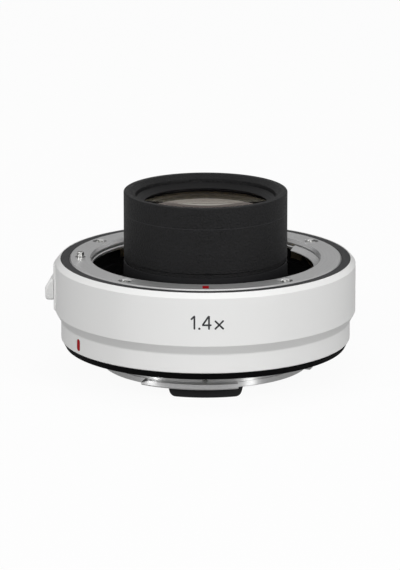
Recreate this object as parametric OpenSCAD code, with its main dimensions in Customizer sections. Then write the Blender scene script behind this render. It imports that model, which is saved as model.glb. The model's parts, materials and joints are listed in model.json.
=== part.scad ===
// Camera teleconverter: a short optical barrel that goes between a camera body and a lens.
// The origin is on the optical axis, on the camera-side register face.
// +Z points to the lens, -Y to the side with the magnification figure, +X to the right of it.
// Angles are counted in degrees from -Y towards +X. Lengths are in millimetres.

/* [Overall] */
// Diameter of the white barrel
barrel_d = 71.2; // [69:0.1:78]
// Distance between the camera-side and the lens-side register faces
register_len = 20.3; // [19:0.1:26]
// Diameter of the mount throat
throat_d = 54; // [52:0.1:55]
// Diameter of the lens barrel that stands out of the throat
nose_d = 38.74; // [37:0.02:40]
// How far the lens barrel stands past the lens-side register
nose_len = 16.08; // [15:0.02:22]
// How far the guard stands past the camera-side register
guard_drop = 8.1; // [7.4:0.1:9]

/* [Barrel] */
// Wall of the barrel at its lower cylinder
barrel_wall = 1.24; // [1:0.02:1.6]
// How far the lower cylinder is set in
step_in = 1.26; // [0.8:0.02:1.6]
// Height of the barrel's lower edge
barrel_bottom = 0.82; // [0.5:0.01:0.9]
// Height where the step begins
step_low = 5.37; // [3:0.01:6]
// Height of the step's cone
step_rise = 2.26; // [1:0.02:3]
// Chamfer at the barrel's top, along the axis
top_chamfer = 1.15; // [0.6:0.05:1.6]
// Width of the white rim round the trim ring
rim_w = 1.2; // [1:0.05:1.5]
// Width of the black trim ring
trim_w = 2.05; // [1.6:0.05:2.4]
// How far the lever's pad stands proud
pad_proud = 0.5; // [0.3:0.05:1]

/* [Bayonet] */
// Thickness of the lens-side mount's flange
front_flange_t = 2; // [1.8:0.05:2.6]
// How far the tabs reach into the throat
tab_reach = 1.35; // [1.1:0.05:1.6]
// Thickness of a tab at its root
tab_t = 1.25; // [1:0.05:1.4]
// Thickness of the camera-side mount's flange
rear_flange_t = 1.5; // [1.3:0.05:2]
// Length of the spigot past the camera-side register
spigot_len = 5.4; // [5.2:0.05:6]
// Wall of the spigot
spigot_wall = 1.2; // [1:0.05:1.5]
// Thickness of a lug
lug_t = 1.35; // [1:0.05:1.6]
// Radial play between a lug and the throat
lug_play = 0.7; // [0.5:0.05:0.9]
// Radius of a mount screw's head
screw_head_r = 1.45; // [1.2:0.05:1.6]
// Radius of a mount screw's shank
screw_shank_r = 0.8; // [0.6:0.05:0.9]

/* [Lock] */
// Radius of the lock pin
pin_r = 0.85; // [0.7:0.01:1]
// How far the lock pin stands out of the lens-side register
pin_proud = 1.1; // [0.8:0.05:1.4]
// Travel of the release lever
lever_travel = 1.6; // [1.5:0.05:1.8]
// How far the lever's knob stands out of its pad
knob_out = 2.05; // [1.4:0.05:3]
// Height of the lever's knob
knob_h = 5.4; // [4.8:0.1:5.8]
// Half the angle that the knob spans
knob_half = 6.5; // [5:0.1:7.5]
// Wire radius of the lock spring
spring_wire_r = 0.175; // [0.12:0.005:0.18]
// Turns of the lock spring
spring_turns = 6; // [4:1:6]

/* [Contacts] */
// Number of contacts in a row
contact_n = 12; // [8:1:12]
// Angle from one contact to the next
contact_step = 4.4; // [4:0.1:4.6]
// Radius of a sprung contact pin
contact_r = 0.45; // [0.35:0.01:0.5]
// How far the contact pins stand out of their block
contact_proud = 1; // [0.9:0.05:1.2]
// Travel of the contact pins
contact_travel = 0.8; // [0.5:0.05:0.8]

/* [Optics] */
// Radius of the front lens group
front_glass_r = 16.05; // [15.6:0.05:16.1]
// Clear radius of the front retaining ring
front_clear_r = 14.6; // [13.6:0.05:14.8]
// Radius of the middle lens group
mid_glass_r = 15.55; // [15:0.05:15.6]
// Radius of the rear lenses
rear_glass_r = 14.55; // [14:0.05:15]
// Width of the window in the rear baffle
window_w = 27; // [22:0.5:29]
// Height of the window in the rear baffle
window_h = 20; // [16:0.5:22]

/* [Hidden] */
$fn = 96;

// Clearances
seat_gap = 0.05;
bond_gap = 0.02;
slide_gap = 0.06;
screw_gap = 0.03;
play = 0.1;

// Colours
white_paint = "whitesmoke";
black_paint = [0.13, 0.13, 0.14];
black_plastic = [0.08, 0.08, 0.08];
dark_trim = [0.25, 0.25, 0.26];
chrome = [0.72, 0.72, 0.72];
steel = [0.6, 0.6, 0.62];
bronze = [0.6, 0.45, 0.28];
gold = [0.83, 0.66, 0.3];
red_enamel = [0.8, 0.08, 0.08];
board_green = [0.1, 0.35, 0.18];
film_amber = [0.75, 0.45, 0.12];
rubber_black = [0.06, 0.06, 0.06];
glass_tint = [0.75, 0.82, 0.8, 0.4];

// Barrel
barrel_r = barrel_d / 2;
lower_r = barrel_r - step_in;
bore_r = lower_r - barrel_wall;
rim_r = barrel_r - rim_w;
pad_r = barrel_r + pad_proud;
edge_round = 0.25;
rim_flat = 0.15;
rim_drop = 0.2;
barrel_top = register_len - rim_drop;
step_high = step_low + step_rise;

// Lens-side mount
throat_r = throat_d / 2;
flange_r = rim_r - trim_w - seat_gap;
face_chamfer = 0.3;
throat_flare = 0.35;
flare_depth = 0.9;
lip_r = throat_r - 0.15;
lip_t = 0.25;
tab_r = throat_r - tab_reach;
neck_r = throat_r + 1.4;
shim_t = 0.2;
flange_low = register_len - front_flange_t;
frame_top = flange_low - shim_t;
tab_top = register_len - 1.3;
tab_low = tab_top - tab_t;
tab_lip = 0.25;
tab_root = 0.1;
gap_r = throat_r + 0.05;
lip_low = flange_low - 0.1;
trim_foot_w = 1.1;
trim_foot_r = flange_r - trim_foot_w;
trim_foot_top = frame_top + 0.85;
flange_mid_r = (throat_r + flange_r) / 2;
mount_screw_r = flange_mid_r + 0.25;
front_screw_angles = [-121.7, -38, 38, 121.7];
tabs = [[-35, 17], [80, 127], [188, 227]];

// Camera-side mount
lugs = [[-35, 17], [72, 125], [175, 227]];
lug_r = throat_r - lug_play;
band_r = tab_r - 1.1;
root_r = band_r - 0.35;
spigot_bore = root_r - spigot_wall;
band_h = lug_t - 0.05;
lug_top = lug_t - spigot_len;
lug_edge = 0.3;
lug_lead = 2;
seal_root_w = 1.5;
seal_gap = 0.07;
skirt_edge = 0.23;
tip_in = 0.7;
tip_w = 0.35;
tip_drop = 0.85;
rear_flange_r = bore_r - seal_root_w;
relief_r = throat_r + 0.3;
relief_t = 0.3;
rear_screw_r = (relief_r + rear_flange_r) / 2;
rear_screw_angles = [45, 135, 225, 315];
frame_low = rear_flange_t + shim_t;
lock_hole_r = pin_r + 0.25;

// Screws
mount_bore_r = screw_head_r + 0.25;
mount_head_h = 0.8;
mount_head_sink = 0.08;
mount_screw_len = 5;
slot_w = 0.45;
slot_depth = 0.45;
screw_end = 0.5;
small_head_r = 0.85;
small_head_h = 0.5;
small_shank_r = 0.5;
tiny_head_r = 0.6;
tiny_head_h = 0.3;
tiny_shank_r = 0.4;

// Leaf springs
leaf_t = 0.3;
leaf_in = 0.4;
leaf_out = 0.2;
bow = 1.1;
tongue_h = 1.6;
tongue_back = 6.4;
tongue_over = 2.5;
leaf_screw_len = 1.5;

// Frame levels, from the lens-side register down
frame_r = bore_r - play;
upper_bore = neck_r + 0.2;
lug_floor = register_len - spigot_len - 0.45;
floor_top = register_len - guard_drop - 0.8;
floor_t = 0.6;
floor_low = floor_top - floor_t;
liner_step = 0.3;
board_gap = 2.6;
ledge_top = floor_low - board_gap;
ledge_t = 1.6;
ledge_low = ledge_top - ledge_t;

// Lens barrel
nose_r = nose_d / 2;
nose_top = register_len + nose_len;
seam_z = nose_top - 5.12;
seam_gap = 0.14;
spigot_low = nose_top - 7.78;
body_r = nose_r - 0.47;
collar_in = body_r + play;
collar_r = nose_r;
collar_foot_r = collar_r + 0.3;
collar_top = register_len - 0.64;
nose_low = register_len + 0.26;
ledge_r = collar_r + 2.1;
barrel_flange_t = 1.7;
barrel_flange_low = ledge_low - barrel_flange_t;
barrel_flange_r = throat_r - 0.8;
barrel_screw_r = barrel_flange_r - 2.2;
barrel_screw_angles = [45, 135, 225, 315];
barrel_head_h = 0.7;
tail_r = rear_glass_r + 2.45;
tail_low = -3;
web_low = register_len - 6.3;
web_t = 1.5;
web_top = web_low + web_t;
web_r = mid_glass_r - 3.05;
nose_spigot_r = nose_r - 1.17;
glass_seat = nose_top - 6.98;

// Nose opening
rim_in = nose_r - 1.37;
throat_wall_r = nose_r - 2.77;
throat_wall_top = nose_top - 0.98;
ring_top = nose_top - 1.73;
ring_inner_top = nose_top - 2.98;
ring_low = nose_top - 3.53;
cell_top = nose_top - 3.98;
nose_edge = 0.35;

// Glass: centre height and curvature of each surface, curved towards the lens where positive
cement = 0.02;
glass_1_v = ring_low - bond_gap + sag(front_clear_r, 120);
glass_1 = [glass_1_v, 120];
glass_2 = [glass_seat + 1.6, -120];
glass_3 = [glass_seat + 0.8, 90];
glass_4 = [web_top + 10.1, 60];
glass_5 = [web_top + 5.1, -50];
glass_6 = [web_top + 3.1, 55];
glass_7 = [web_top + 0.7, 120];
glass_8 = [web_low - 0.8, -100];
glass_9 = [web_low - 3.4, -60];
glass_10 = [tail_low + 7.6, 50];
glass_11 = [tail_low + 3.9, 120];
spacer_w = 1.35;
front_spacer_in = mid_glass_r - spacer_w;
front_spacer_low = glass_4[0] - sag(front_spacer_in, glass_4[1]) + bond_gap;
rear_spacer_in = rear_glass_r - spacer_w;
rear_spacer_top = glass_9[0] - sag(rear_spacer_in, glass_9[1]) - bond_gap;
rear_spacer_low = glass_10[0] - sag(rear_spacer_in, glass_10[1]) + bond_gap;
rear_ring_top = glass_11[0] - sag(rear_glass_r, glass_11[1]) - bond_gap;
rear_ring_low = tail_low + 0.8;
key_slot_w = 1.2;
key_slot_depth = 0.7;

// Baffle, guard and camera-side contacts
baffle_r = spigot_bore - seat_gap;
baffle_low = 0.1 - spigot_len;
baffle_t = 1.2;
baffle_top = baffle_low + baffle_t;
skirt_w = 1.25;
baffle_skirt_top = baffle_low + 3.7;
window_round = 2;
guard_w = 1.75;
guard_half_top = 8.95;
guard_half_low = 8.5;
guard_lean = 14;
guard_root = 0.3;
guard_round = 1.5;
block_half = 36;
block_w = 2.05;
block_edge = 0.4;
block_head_sink = 0.2;
film_t = 0.15;
film_half = block_half - 6;
rear_block_top = baffle_low - film_t;
contact_row_r = baffle_r - 1.05;
pad_contact_r = 0.6;
pad_sink = 0.05;
block_screw_angle = block_half - 3;
baffle_screw_angles = [0, 120, 210];
baffle_head_r = 0.7;
baffle_screw_z = lug_top + baffle_head_r + play;
baffle_head_proud = 0.25;
baffle_head_h = 0.8;

// Lens-side contacts
front_block_half = 34;
front_block_in = ledge_r - 0.5;
front_block_r = front_block_in + 3.65;
front_block_low = ledge_top + film_t;
front_block_top = floor_top + 0.3;
front_window_gap = 0.15;
comb_t = 0.2;
pin_low = front_block_low + contact_travel + play;
collar_low = pin_low + 0.35;
collar_h = 0.95;
pin_collar_r = contact_r + 0.23;
pin_bore_r = contact_r + slide_gap;
pin_well_r = pin_collar_r + slide_gap;
pin_well_top = collar_low + collar_h + seat_gap;
front_block_screw_angle = front_block_half - 2.5;
front_block_screw_r = front_block_r - 1;
film_angle = 200;
film_strip_half = 6;
film_r = ledge_r - 0.6;

// Circuit board
board_t = 0.8;
board_boss_h = 0.3;
board_boss_r = 1.2;
boss_sink = 0.2;
board_screw_grip = 0.8;
board_low = ledge_top + board_boss_h;
board_top = board_low + board_t;
board_half = 140;
board_in = ledge_r + 0.2;
board_r = throat_r - 0.5;
board_mid_r = (board_in + board_r) / 2;
board_screw_angles = [-100, 0, 100];
chip_h = 0.9;
chips = [[-66, 3.4, 5], [-30, 2.4, 3], [34, 3.6, 6], [70, 2, 2.6]];

// Lock
lock_angle = -90;
lever_angle = -97;
lock_r = flange_mid_r;
pocket = [-104, -82];
pocket_in = lock_r - 1.75;
pocket_low = ledge_low - 0.6;
pocket_top = frame_top - 3.3;
slide_h = 3;
slide_top = pocket_top - seat_gap;
slide_low = slide_top - slide_h;
slide_in = pocket_in + 0.2;
slide_out = frame_r - 0.6;
slide_side = 0.1;
pin_top = register_len + pin_proud;
pin_bottom = slide_low - 3.75;
pin_hole_r = pin_r + 0.35;
bush_r = pin_r + 0.8;
bush_low = pocket_top + seat_gap;
bush_top = tab_low - play;
spring_r = pin_r + 0.45;
spring_end_gap = 0.05;
spring_rings = 8;
spring_sides = 6;
shank_half = 4.2;
shank_low = slide_low + 0.15;
shank_h = 2;
slot_side = 0.3;
slot_end = 0.15;
knob_in = pad_r + 0.1;
knob_r = pad_r + knob_out;
knob_low = shank_low + shank_h / 2 - knob_h / 2 - 0.75;
knob_top = knob_low + knob_h;
knob_edge = 0.7;
knob_brow = 1.9;
scoop_r = 5;
lever_screw_side = 2.2;
lever_well = 1.2;
lever_screw_z = shank_low + shank_h / 2;
pad_half = 8.5;
pad_slope = 0.5;
pad_low = step_high;
pad_top = barrel_top - top_chamfer - 0.25;

// Marks
mark_depth = 0.14;
front_mark = [1.5, 2.7, 1.5];
barrel_mark_angle = -60.2;
barrel_mark_z = 3.07;
barrel_mark_w = 1.5;
barrel_mark_h = 2.9;

// How far a sphere of radius c falls away from its top at distance r
function sag(r, c) = sign(c) * (abs(c) - sqrt(c * c - r * r));

// Points of an arc
function arc(x, y, r, a1, a2, n) = [for (i = [0 : n])
    let (a = a1 + (a2 - a1) * i / n) [x + r * cos(a), y + r * sin(a)]];

// Turns the +X axis of its children outwards at an angle
module at_angle(a) {
    rotate([0, 0, a - 90]) children();
}

module ring(r1, r2, z1, z2) {
    rotate_extrude() translate([r1, z1]) square([r2 - r1, z2 - z1]);
}

module lathe(points) {
    rotate_extrude() polygon(points);
}

// Part of a lathed shape, from one angle to another
module lathe_part(points, a1, a2) {
    at_angle(a1) rotate_extrude(angle = a2 - a1) polygon(points);
}

module sector(r1, r2, z1, z2, a1, a2) {
    lathe_part([[r1, z1], [r2, z1], [r2, z2], [r1, z2]], a1, a2);
}

// A round hole or rod along the axis
module post(r, z1, z2) {
    translate([0, 0, z1]) cylinder(r = r, h = z2 - z1, $fn = 48);
}

// A round hole or rod that runs outwards, at height z
module spoke(r, x1, x2, z) {
    translate([x1, 0, z]) rotate([0, 90, 0]) cylinder(r = r, h = x2 - x1, $fn = 48);
}

// Cross-head screw along +Z, its face at the origin and its shank below
module cross_screw(head_r, head_h, shank_r, len) {
    difference() {
        union() {
            post(head_r, -head_h, 0);
            post(shank_r, -head_h - len, -head_h + 0.01);
        }
        for (a = [45, 135])
            rotate([0, 0, a])
                translate([-head_r * 0.68, -min(slot_w, head_r * 0.3) / 2, -min(slot_depth, head_h * 0.7)])
                    cube([head_r * 1.36, min(slot_w, head_r * 0.3), 1]);
    }
}

// Half section of what lies on the camera side of a glass surface
module under_surface(s) {
    if (s[1] > 0) intersection() {
        children();
        translate([0, s[0] - s[1]]) circle(r = s[1], $fn = 720);
    }
    else difference() {
        children();
        translate([0, s[0] - s[1]]) circle(r = -s[1], $fn = 720);
    }
}

// Half section of what lies on the lens side of a glass surface
module over_surface(s) {
    if (s[1] > 0) difference() {
        children();
        translate([0, s[0] - s[1]]) circle(r = s[1], $fn = 720);
    }
    else intersection() {
        children();
        translate([0, s[0] - s[1]]) circle(r = -s[1], $fn = 720);
    }
}

// One lens: front and back surface, radius, and the flat ends of its blank
module glass(front, back, r, z1, z2) {
    color(glass_tint)
        rotate_extrude()
            over_surface(back) under_surface(front) translate([0, z1]) square([r, z2 - z1]);
}

// Outline of a bar with round ends, along X
module pill(w, h) {
    square([h - w, w], center = true);
    for (s = [-1, 1]) translate([s * (h - w) / 2, 0]) circle(d = w, $fn = 48);
}

module outer_barrel() {
    profile = concat(
        [[bore_r, barrel_bottom]],
        arc(lower_r - edge_round, barrel_bottom + edge_round, edge_round, -90, 0, 4),
        [[lower_r, step_low], [barrel_r, step_high], [barrel_r, barrel_top - top_chamfer],
         [rim_r + rim_flat, barrel_top], [rim_r, barrel_top], [rim_r, frame_top], [bore_r, frame_top]]);
    pad = [[barrel_r - 0.6, pad_low], [pad_r, pad_low], [pad_r, pad_top - pad_slope],
           [barrel_r, pad_top], [barrel_r - 0.6, pad_top]];
    color(white_paint) difference() {
        union() {
            lathe(profile);
            lathe_part(pad, lever_angle - pad_half, lever_angle + pad_half);
        }
        sector(bore_r - 1, pad_r + 1, shank_low - lever_travel - slot_end, shank_low + shank_h + slot_end,
               lever_angle - shank_half - slot_side, lever_angle + shank_half + slot_side);
        barrel_mark_shape(lower_r - mark_depth, lower_r + 1, 0);
    }
}

// The bar of the barrel's index mark, from one radius to another
module barrel_mark_shape(r1, r2, inset) {
    at_angle(barrel_mark_angle) translate([r1, 0, barrel_mark_z]) rotate([0, 90, 0])
        linear_extrude(r2 - r1) pill(barrel_mark_w - 2 * inset, barrel_mark_h - 2 * inset);
}

module barrel_index_mark() {
    color(red_enamel) intersection() {
        barrel_mark_shape(lower_r - mark_depth, lower_r + 1, bond_gap);
        ring(lower_r - 1, lower_r - bond_gap, 0, step_low, $fn = 720);
    }
}

module front_trim_ring() {
    trim_top = barrel_top - 0.05;
    color(dark_trim) lathe([
        [trim_foot_r, frame_top], [rim_r - seat_gap, frame_top], [rim_r - seat_gap, trim_top],
        [flange_r + seat_gap, trim_top], [flange_r + seat_gap, trim_foot_top], [trim_foot_r, trim_foot_top]]);
}

module front_mount() {
    step_r = trim_foot_r - seat_gap;
    step_z = trim_foot_top + seat_gap;
    profile = [
        [throat_r + throat_flare, register_len], [flange_r - face_chamfer, register_len],
        [flange_r, register_len - face_chamfer], [flange_r, step_z], [step_r, step_z], [step_r, flange_low],
        [neck_r, flange_low], [neck_r, tab_low], [tab_r, tab_low], [tab_r, tab_low + tab_lip],
        [throat_r - tab_root, tab_top], [throat_r, tab_top], [throat_r, register_len - flare_depth]];
    color(chrome) difference() {
        lathe(profile);
        for (i = [0 : 2]) tab_gap(tabs[i][1], i < 2 ? tabs[i + 1][0] : tabs[0][0] + 360);
        for (a = front_screw_angles) at_angle(a) translate([mount_screw_r, 0, 0]) {
            post(screw_shank_r + screw_gap, flange_low - 1, register_len);
            post(mount_bore_r, register_len - mount_head_h - mount_head_sink, register_len + 1);
        }
        at_angle(lock_angle) translate([lock_r, 0, 0]) post(pin_hole_r, flange_low - 1, register_len + 1);
        for (t = tabs) for (s = [-1, 1]) spring_screw_place(t, s)
            post(tiny_shank_r + bond_gap, tab_low - 1, tab_low + leaf_screw_len - leaf_t + seat_gap);
        front_mark_shape(0, 1);
    }
}

// What is cut away between two tabs: a thin lip stays
module tab_gap(a1, a2) {
    lip_top = lip_low + lip_t;
    lathe_part([[tab_r - 1, tab_low - 1], [gap_r, tab_low - 1], [gap_r, lip_low], [lip_r, lip_low],
                [lip_r, lip_top], [gap_r, lip_top + gap_r - lip_r], [gap_r, tab_top + gap_r - throat_r],
                [tab_r - 1, tab_top + gap_r - throat_r]], a1, a2);
}

module front_mark_shape(inset, over) {
    translate([-front_mark[0] / 2 + inset, -throat_r - front_mark[2] - front_mark[1] + inset,
               register_len - mark_depth])
        cube([front_mark[0] - 2 * inset, front_mark[1] - 2 * inset, mark_depth + over]);
}

module front_index_mark() {
    color(red_enamel) front_mark_shape(bond_gap, -bond_gap);
}

module front_mount_screws() {
    color(steel) for (a = front_screw_angles) at_angle(a)
        translate([mount_screw_r, 0, register_len - mount_head_sink])
            cross_screw(screw_head_r, mount_head_h, screw_shank_r, mount_screw_len);
}

module front_shim() {
    color(steel) difference() {
        ring(upper_bore, trim_foot_r - play, frame_top, flange_low);
        for (a = front_screw_angles) at_angle(a) translate([mount_screw_r, 0, 0])
            post(screw_shank_r + play, frame_top - 1, flange_low + 1);
        at_angle(lock_angle) translate([lock_r, 0, 0]) post(pin_hole_r, frame_top - 1, flange_low + 1);
    }
}

// Where a leaf spring's screw stands: near one end of its tab, under the neck
module spring_screw_place(t, side) {
    half = (t[1] - t[0]) / 2;
    at_angle((t[0] + t[1]) / 2 + side * half * 0.78) translate([(throat_r + neck_r) / 2, 0, 0]) children();
}

// Leaf springs that press on a lens's lugs from the tabs' undersides
module bayonet_springs() {
    color(bronze) for (t = tabs) {
        half = throat_r * sin((t[1] - t[0]) / 2 - 1.5);
        top = [[-half, 0], [-half * 0.5, 0], [-half * 0.2, -bow],
               [half * 0.2, -bow], [half * 0.5, 0], [half, 0]];
        under = [for (i = [5 : -1 : 0]) [top[i][0], top[i][1] - leaf_t]];
        difference() {
            union() {
                intersection() {
                    at_angle((t[0] + t[1]) / 2) translate([0, 0, tab_low]) rotate([90, 0, 90])
                        linear_extrude(neck_r + 5) polygon(concat(top, under));
                    sector(tab_r + leaf_in, neck_r - leaf_out, tab_low - 3, tab_low + 1, t[0] + 1, t[1] - 1);
                }
                sector(throat_r - leaf_t, throat_r, tab_low - leaf_t - tongue_h, tab_low - leaf_t / 2,
                       t[1] - tongue_back, t[1] + tongue_over);
            }
            for (s = [-1, 1]) spring_screw_place(t, s)
                post(tiny_shank_r + bond_gap, tab_low - 2, tab_low + 1);
        }
    }
}

module bayonet_spring_screws() {
    color(steel) for (t = tabs) for (s = [-1, 1]) spring_screw_place(t, s)
        translate([0, 0, tab_low - leaf_t - tiny_head_h]) mirror([0, 0, 1])
            cross_screw(tiny_head_r, tiny_head_h, tiny_shank_r, leaf_screw_len);
}

module main_frame() {
    profile = [
        [throat_r, frame_low], [frame_r, frame_low], [frame_r, frame_top], [upper_bore, frame_top],
        [upper_bore, lug_floor], [throat_r, lug_floor], [throat_r, floor_low],
        [throat_r - liner_step, floor_low], [throat_r - liner_step, ledge_top], [ledge_r, ledge_top],
        [ledge_r, ledge_low], [throat_r, ledge_low]];
    color(black_paint) difference() {
        union() {
            lathe(profile);
            for (a = board_screw_angles) at_angle(a) translate([board_mid_r, 0, 0])
                post(board_boss_r, ledge_top - boss_sink, board_low);
        }
        sector(pocket_in, frame_r + 1, pocket_low, pocket_top, pocket[0], pocket[1]);
        at_angle(lock_angle) translate([lock_r, 0, 0]) post(bush_r + bond_gap, pocket_top - 1, frame_top + 1);
        for (a = front_screw_angles) at_angle(a) translate([mount_screw_r, 0, 0])
            post(screw_shank_r + screw_gap, flange_low - mount_screw_len, frame_top + 1);
        for (a = rear_screw_angles) at_angle(a) translate([rear_screw_r, 0, 0])
            post(screw_shank_r + screw_gap, frame_low - 1, rear_flange_t + mount_screw_len);
        for (a = barrel_screw_angles) at_angle(a) translate([barrel_screw_r, 0, 0])
            post(screw_shank_r + screw_gap, ledge_low - 1, ledge_top + 1);
        for (a = board_screw_angles) at_angle(a) translate([board_mid_r, 0, 0])
            post(small_shank_r + bond_gap, ledge_low - 1, board_low + 1);
        for (s = [-1, 1]) at_angle(180 + s * front_block_screw_angle) translate([front_block_screw_r, 0, 0])
            post(small_shank_r + bond_gap, ledge_low - 1, ledge_top + 1);
    }
}

// Black floor of the throat with the collar round the lens barrel
module throat_liner() {
    color(black_plastic) difference() {
        lathe([
            [collar_in, floor_low], [throat_r - seat_gap, floor_low], [throat_r - seat_gap, floor_top],
            [collar_foot_r, floor_top], [collar_r, collar_top], [collar_in, collar_top]]);
        sector(front_block_in - front_window_gap, front_block_r + front_window_gap,
               floor_low - 1, floor_top + 1, 180 - front_block_half - 0.6, 180 + front_block_half + 0.6);
    }
}

module lens_barrel() {
    profile = [
        [rear_glass_r + seat_gap, tail_low], [tail_r, tail_low], [tail_r, barrel_flange_low],
        [barrel_flange_r, barrel_flange_low], [barrel_flange_r, ledge_low], [body_r, ledge_low],
        [body_r, nose_low], [nose_r, nose_low], [nose_r, seam_z], [nose_spigot_r + seat_gap, seam_z],
        [nose_spigot_r + seat_gap, spigot_low], [mid_glass_r + seat_gap, spigot_low],
        [mid_glass_r + seat_gap, web_top], [web_r, web_top], [web_r, web_low],
        [rear_glass_r + seat_gap, web_low]];
    color(black_paint) difference() {
        lathe(profile);
        for (a = barrel_screw_angles) at_angle(a) translate([barrel_screw_r, 0, 0])
            post(screw_shank_r + play, barrel_flange_low - 1, ledge_low + 1);
        sector(film_r - 0.4, film_r + film_t + 0.4, barrel_flange_low - 1, ledge_low + 1,
               film_angle - film_strip_half - 1, film_angle + film_strip_half + 1);
    }
}

module lens_barrel_screws() {
    color(steel) for (a = barrel_screw_angles) at_angle(a)
        translate([barrel_screw_r, 0, barrel_flange_low - barrel_head_h]) mirror([0, 0, 1])
            cross_screw(screw_head_r - 0.15, barrel_head_h, screw_shank_r, barrel_flange_t + ledge_t - 0.1);
}

module nose_ring() {
    profile = concat(
        [[front_clear_r - 0.4, spigot_low], [nose_spigot_r, spigot_low], [nose_spigot_r, seam_z + seam_gap],
         [nose_r, seam_z + seam_gap]],
        arc(nose_r - nose_edge, nose_top - nose_edge, nose_edge, 0, 90, 4),
        [[rim_in, nose_top], [throat_wall_r, throat_wall_top], [throat_wall_r, cell_top],
         [front_glass_r + seat_gap, cell_top], [front_glass_r + seat_gap, glass_seat],
         [front_clear_r - 0.4, glass_seat]]);
    color(black_paint) lathe(profile);
}

module front_retaining_ring() {
    ring_r = throat_wall_r - play;
    color(black_plastic) lathe([
        [front_clear_r, ring_low], [ring_r, ring_low], [ring_r, ring_top], [front_clear_r, ring_inner_top]]);
}

module lens_1() {
    glass(glass_1, glass_2, front_glass_r, glass_seat, nose_top);
}

module lens_2() {
    glass([glass_2[0] - cement, glass_2[1]], glass_3, front_glass_r, glass_seat, nose_top);
}

module front_spacer() {
    color(black_paint) ring(front_spacer_in, mid_glass_r, front_spacer_low, spigot_low);
}

module lens_3() {
    glass(glass_4, glass_5, mid_glass_r, web_top, spigot_low);
}

module lens_4() {
    glass([glass_5[0] - cement, glass_5[1]], glass_6, mid_glass_r, web_top, spigot_low);
}

module lens_5() {
    glass([glass_6[0] - cement, glass_6[1]], glass_7, mid_glass_r, web_top, spigot_low);
}

module lens_6() {
    glass(glass_8, glass_9, rear_glass_r, tail_low, web_low);
}

module rear_spacer() {
    color(black_paint) ring(rear_spacer_in, rear_glass_r, rear_spacer_low, rear_spacer_top);
}

module lens_7() {
    glass(glass_10, glass_11, rear_glass_r, tail_low, web_low);
}

module rear_retaining_ring() {
    color(black_paint) difference() {
        ring(rear_spacer_in, rear_glass_r, rear_ring_low, rear_ring_top);
        for (a = [0, 180]) at_angle(a)
            translate([rear_spacer_in - 1, -key_slot_w / 2, rear_ring_low - 1])
                cube([spacer_w + 2, key_slot_w, key_slot_depth + 1]);
    }
}

module rear_mount() {
    profile = [
        [spigot_bore, -spigot_len], [band_r, -spigot_len], [band_r, band_h - spigot_len],
        [root_r, band_h - spigot_len], [root_r, relief_t], [relief_r, relief_t], [relief_r, 0],
        [rear_flange_r, 0], [rear_flange_r, rear_flange_t], [spigot_bore, rear_flange_t]];
    lug_in = band_r - 0.2;
    lug = [[lug_in, -spigot_len], [lug_r - lug_edge, -spigot_len], [lug_r, lug_edge - spigot_len],
           [lug_r, lug_top], [lug_in, lug_top]];
    color(chrome) difference() {
        union() {
            lathe(profile);
            for (t = lugs) difference() {
                lathe_part(lug, t[0], t[1]);
                at_angle(t[0]) translate([0, 0, lug_top]) rotate([90, 0, 90]) linear_extrude(2 * lug_r)
                    polygon([[-1, 1], [lug_lead, 1], [lug_lead, 0], [0, -lug_t / 2], [-1, -lug_t / 2]]);
            }
        }
        for (a = rear_screw_angles) at_angle(a) translate([rear_screw_r, 0, 0]) {
            post(screw_shank_r + screw_gap, 0, rear_flange_t + 1);
            post(mount_bore_r, -1, mount_head_h + mount_head_sink);
        }
        at_angle(lock_angle) translate([lock_r, 0, 0]) post(lock_hole_r, -1, rear_flange_t + 1);
        for (a = baffle_screw_angles) at_angle(a) {
            spoke(small_shank_r + bond_gap, spigot_bore - 1, lug_r, baffle_screw_z);
            spoke(baffle_head_r + seat_gap, root_r + baffle_head_proud - baffle_head_h, lug_r,
                  baffle_screw_z);
        }
    }
}

module rear_mount_screws() {
    color(steel) for (a = rear_screw_angles) at_angle(a)
        translate([rear_screw_r, 0, mount_head_sink]) mirror([0, 0, 1])
            cross_screw(screw_head_r, mount_head_h, screw_shank_r, mount_screw_len);
}

module rear_shim() {
    color(steel) difference() {
        ring(relief_r + 0.2, rear_flange_r - 0.2, rear_flange_t, frame_low);
        for (a = rear_screw_angles) at_angle(a) translate([rear_screw_r, 0, 0])
            post(screw_shank_r + play, rear_flange_t - 1, frame_low + 1);
        at_angle(lock_angle) translate([lock_r, 0, 0]) post(lock_hole_r, rear_flange_t - 1, frame_low + 1);
    }
}

// Rubber skirt that meets the camera's mount
module rear_seal() {
    root_in = rear_flange_r + play;
    root_out = bore_r - play;
    root_top = frame_low - seat_gap;
    skirt_r = lower_r - edge_round - seat_gap;
    skirt_top = barrel_bottom - seal_gap;
    tip_r = skirt_r - tip_in;
    color(rubber_black) lathe([
        [root_in, tip_w / 2], [tip_r - 2 * tip_w, -tip_w / 3], [tip_r - tip_w, -tip_drop], [tip_r, -tip_drop],
        [skirt_r, skirt_top - skirt_edge], [skirt_r, skirt_top], [root_out, skirt_top],
        [root_out, root_top], [root_in, root_top]]);
}

// Outline of the guard, seen from the front: it narrows to round corners
module guard_outline() {
    low = -guard_drop;
    centre = guard_half_low - guard_round;
    right = arc(centre, low + guard_round, guard_round, -90, -guard_lean, 6);
    left = [for (i = [6 : -1 : 0]) [-right[i][0], right[i][1]]];
    polygon(concat(right, [[guard_half_top, baffle_low + guard_root],
                          [-guard_half_top, baffle_low + guard_root]], left));
}

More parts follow.
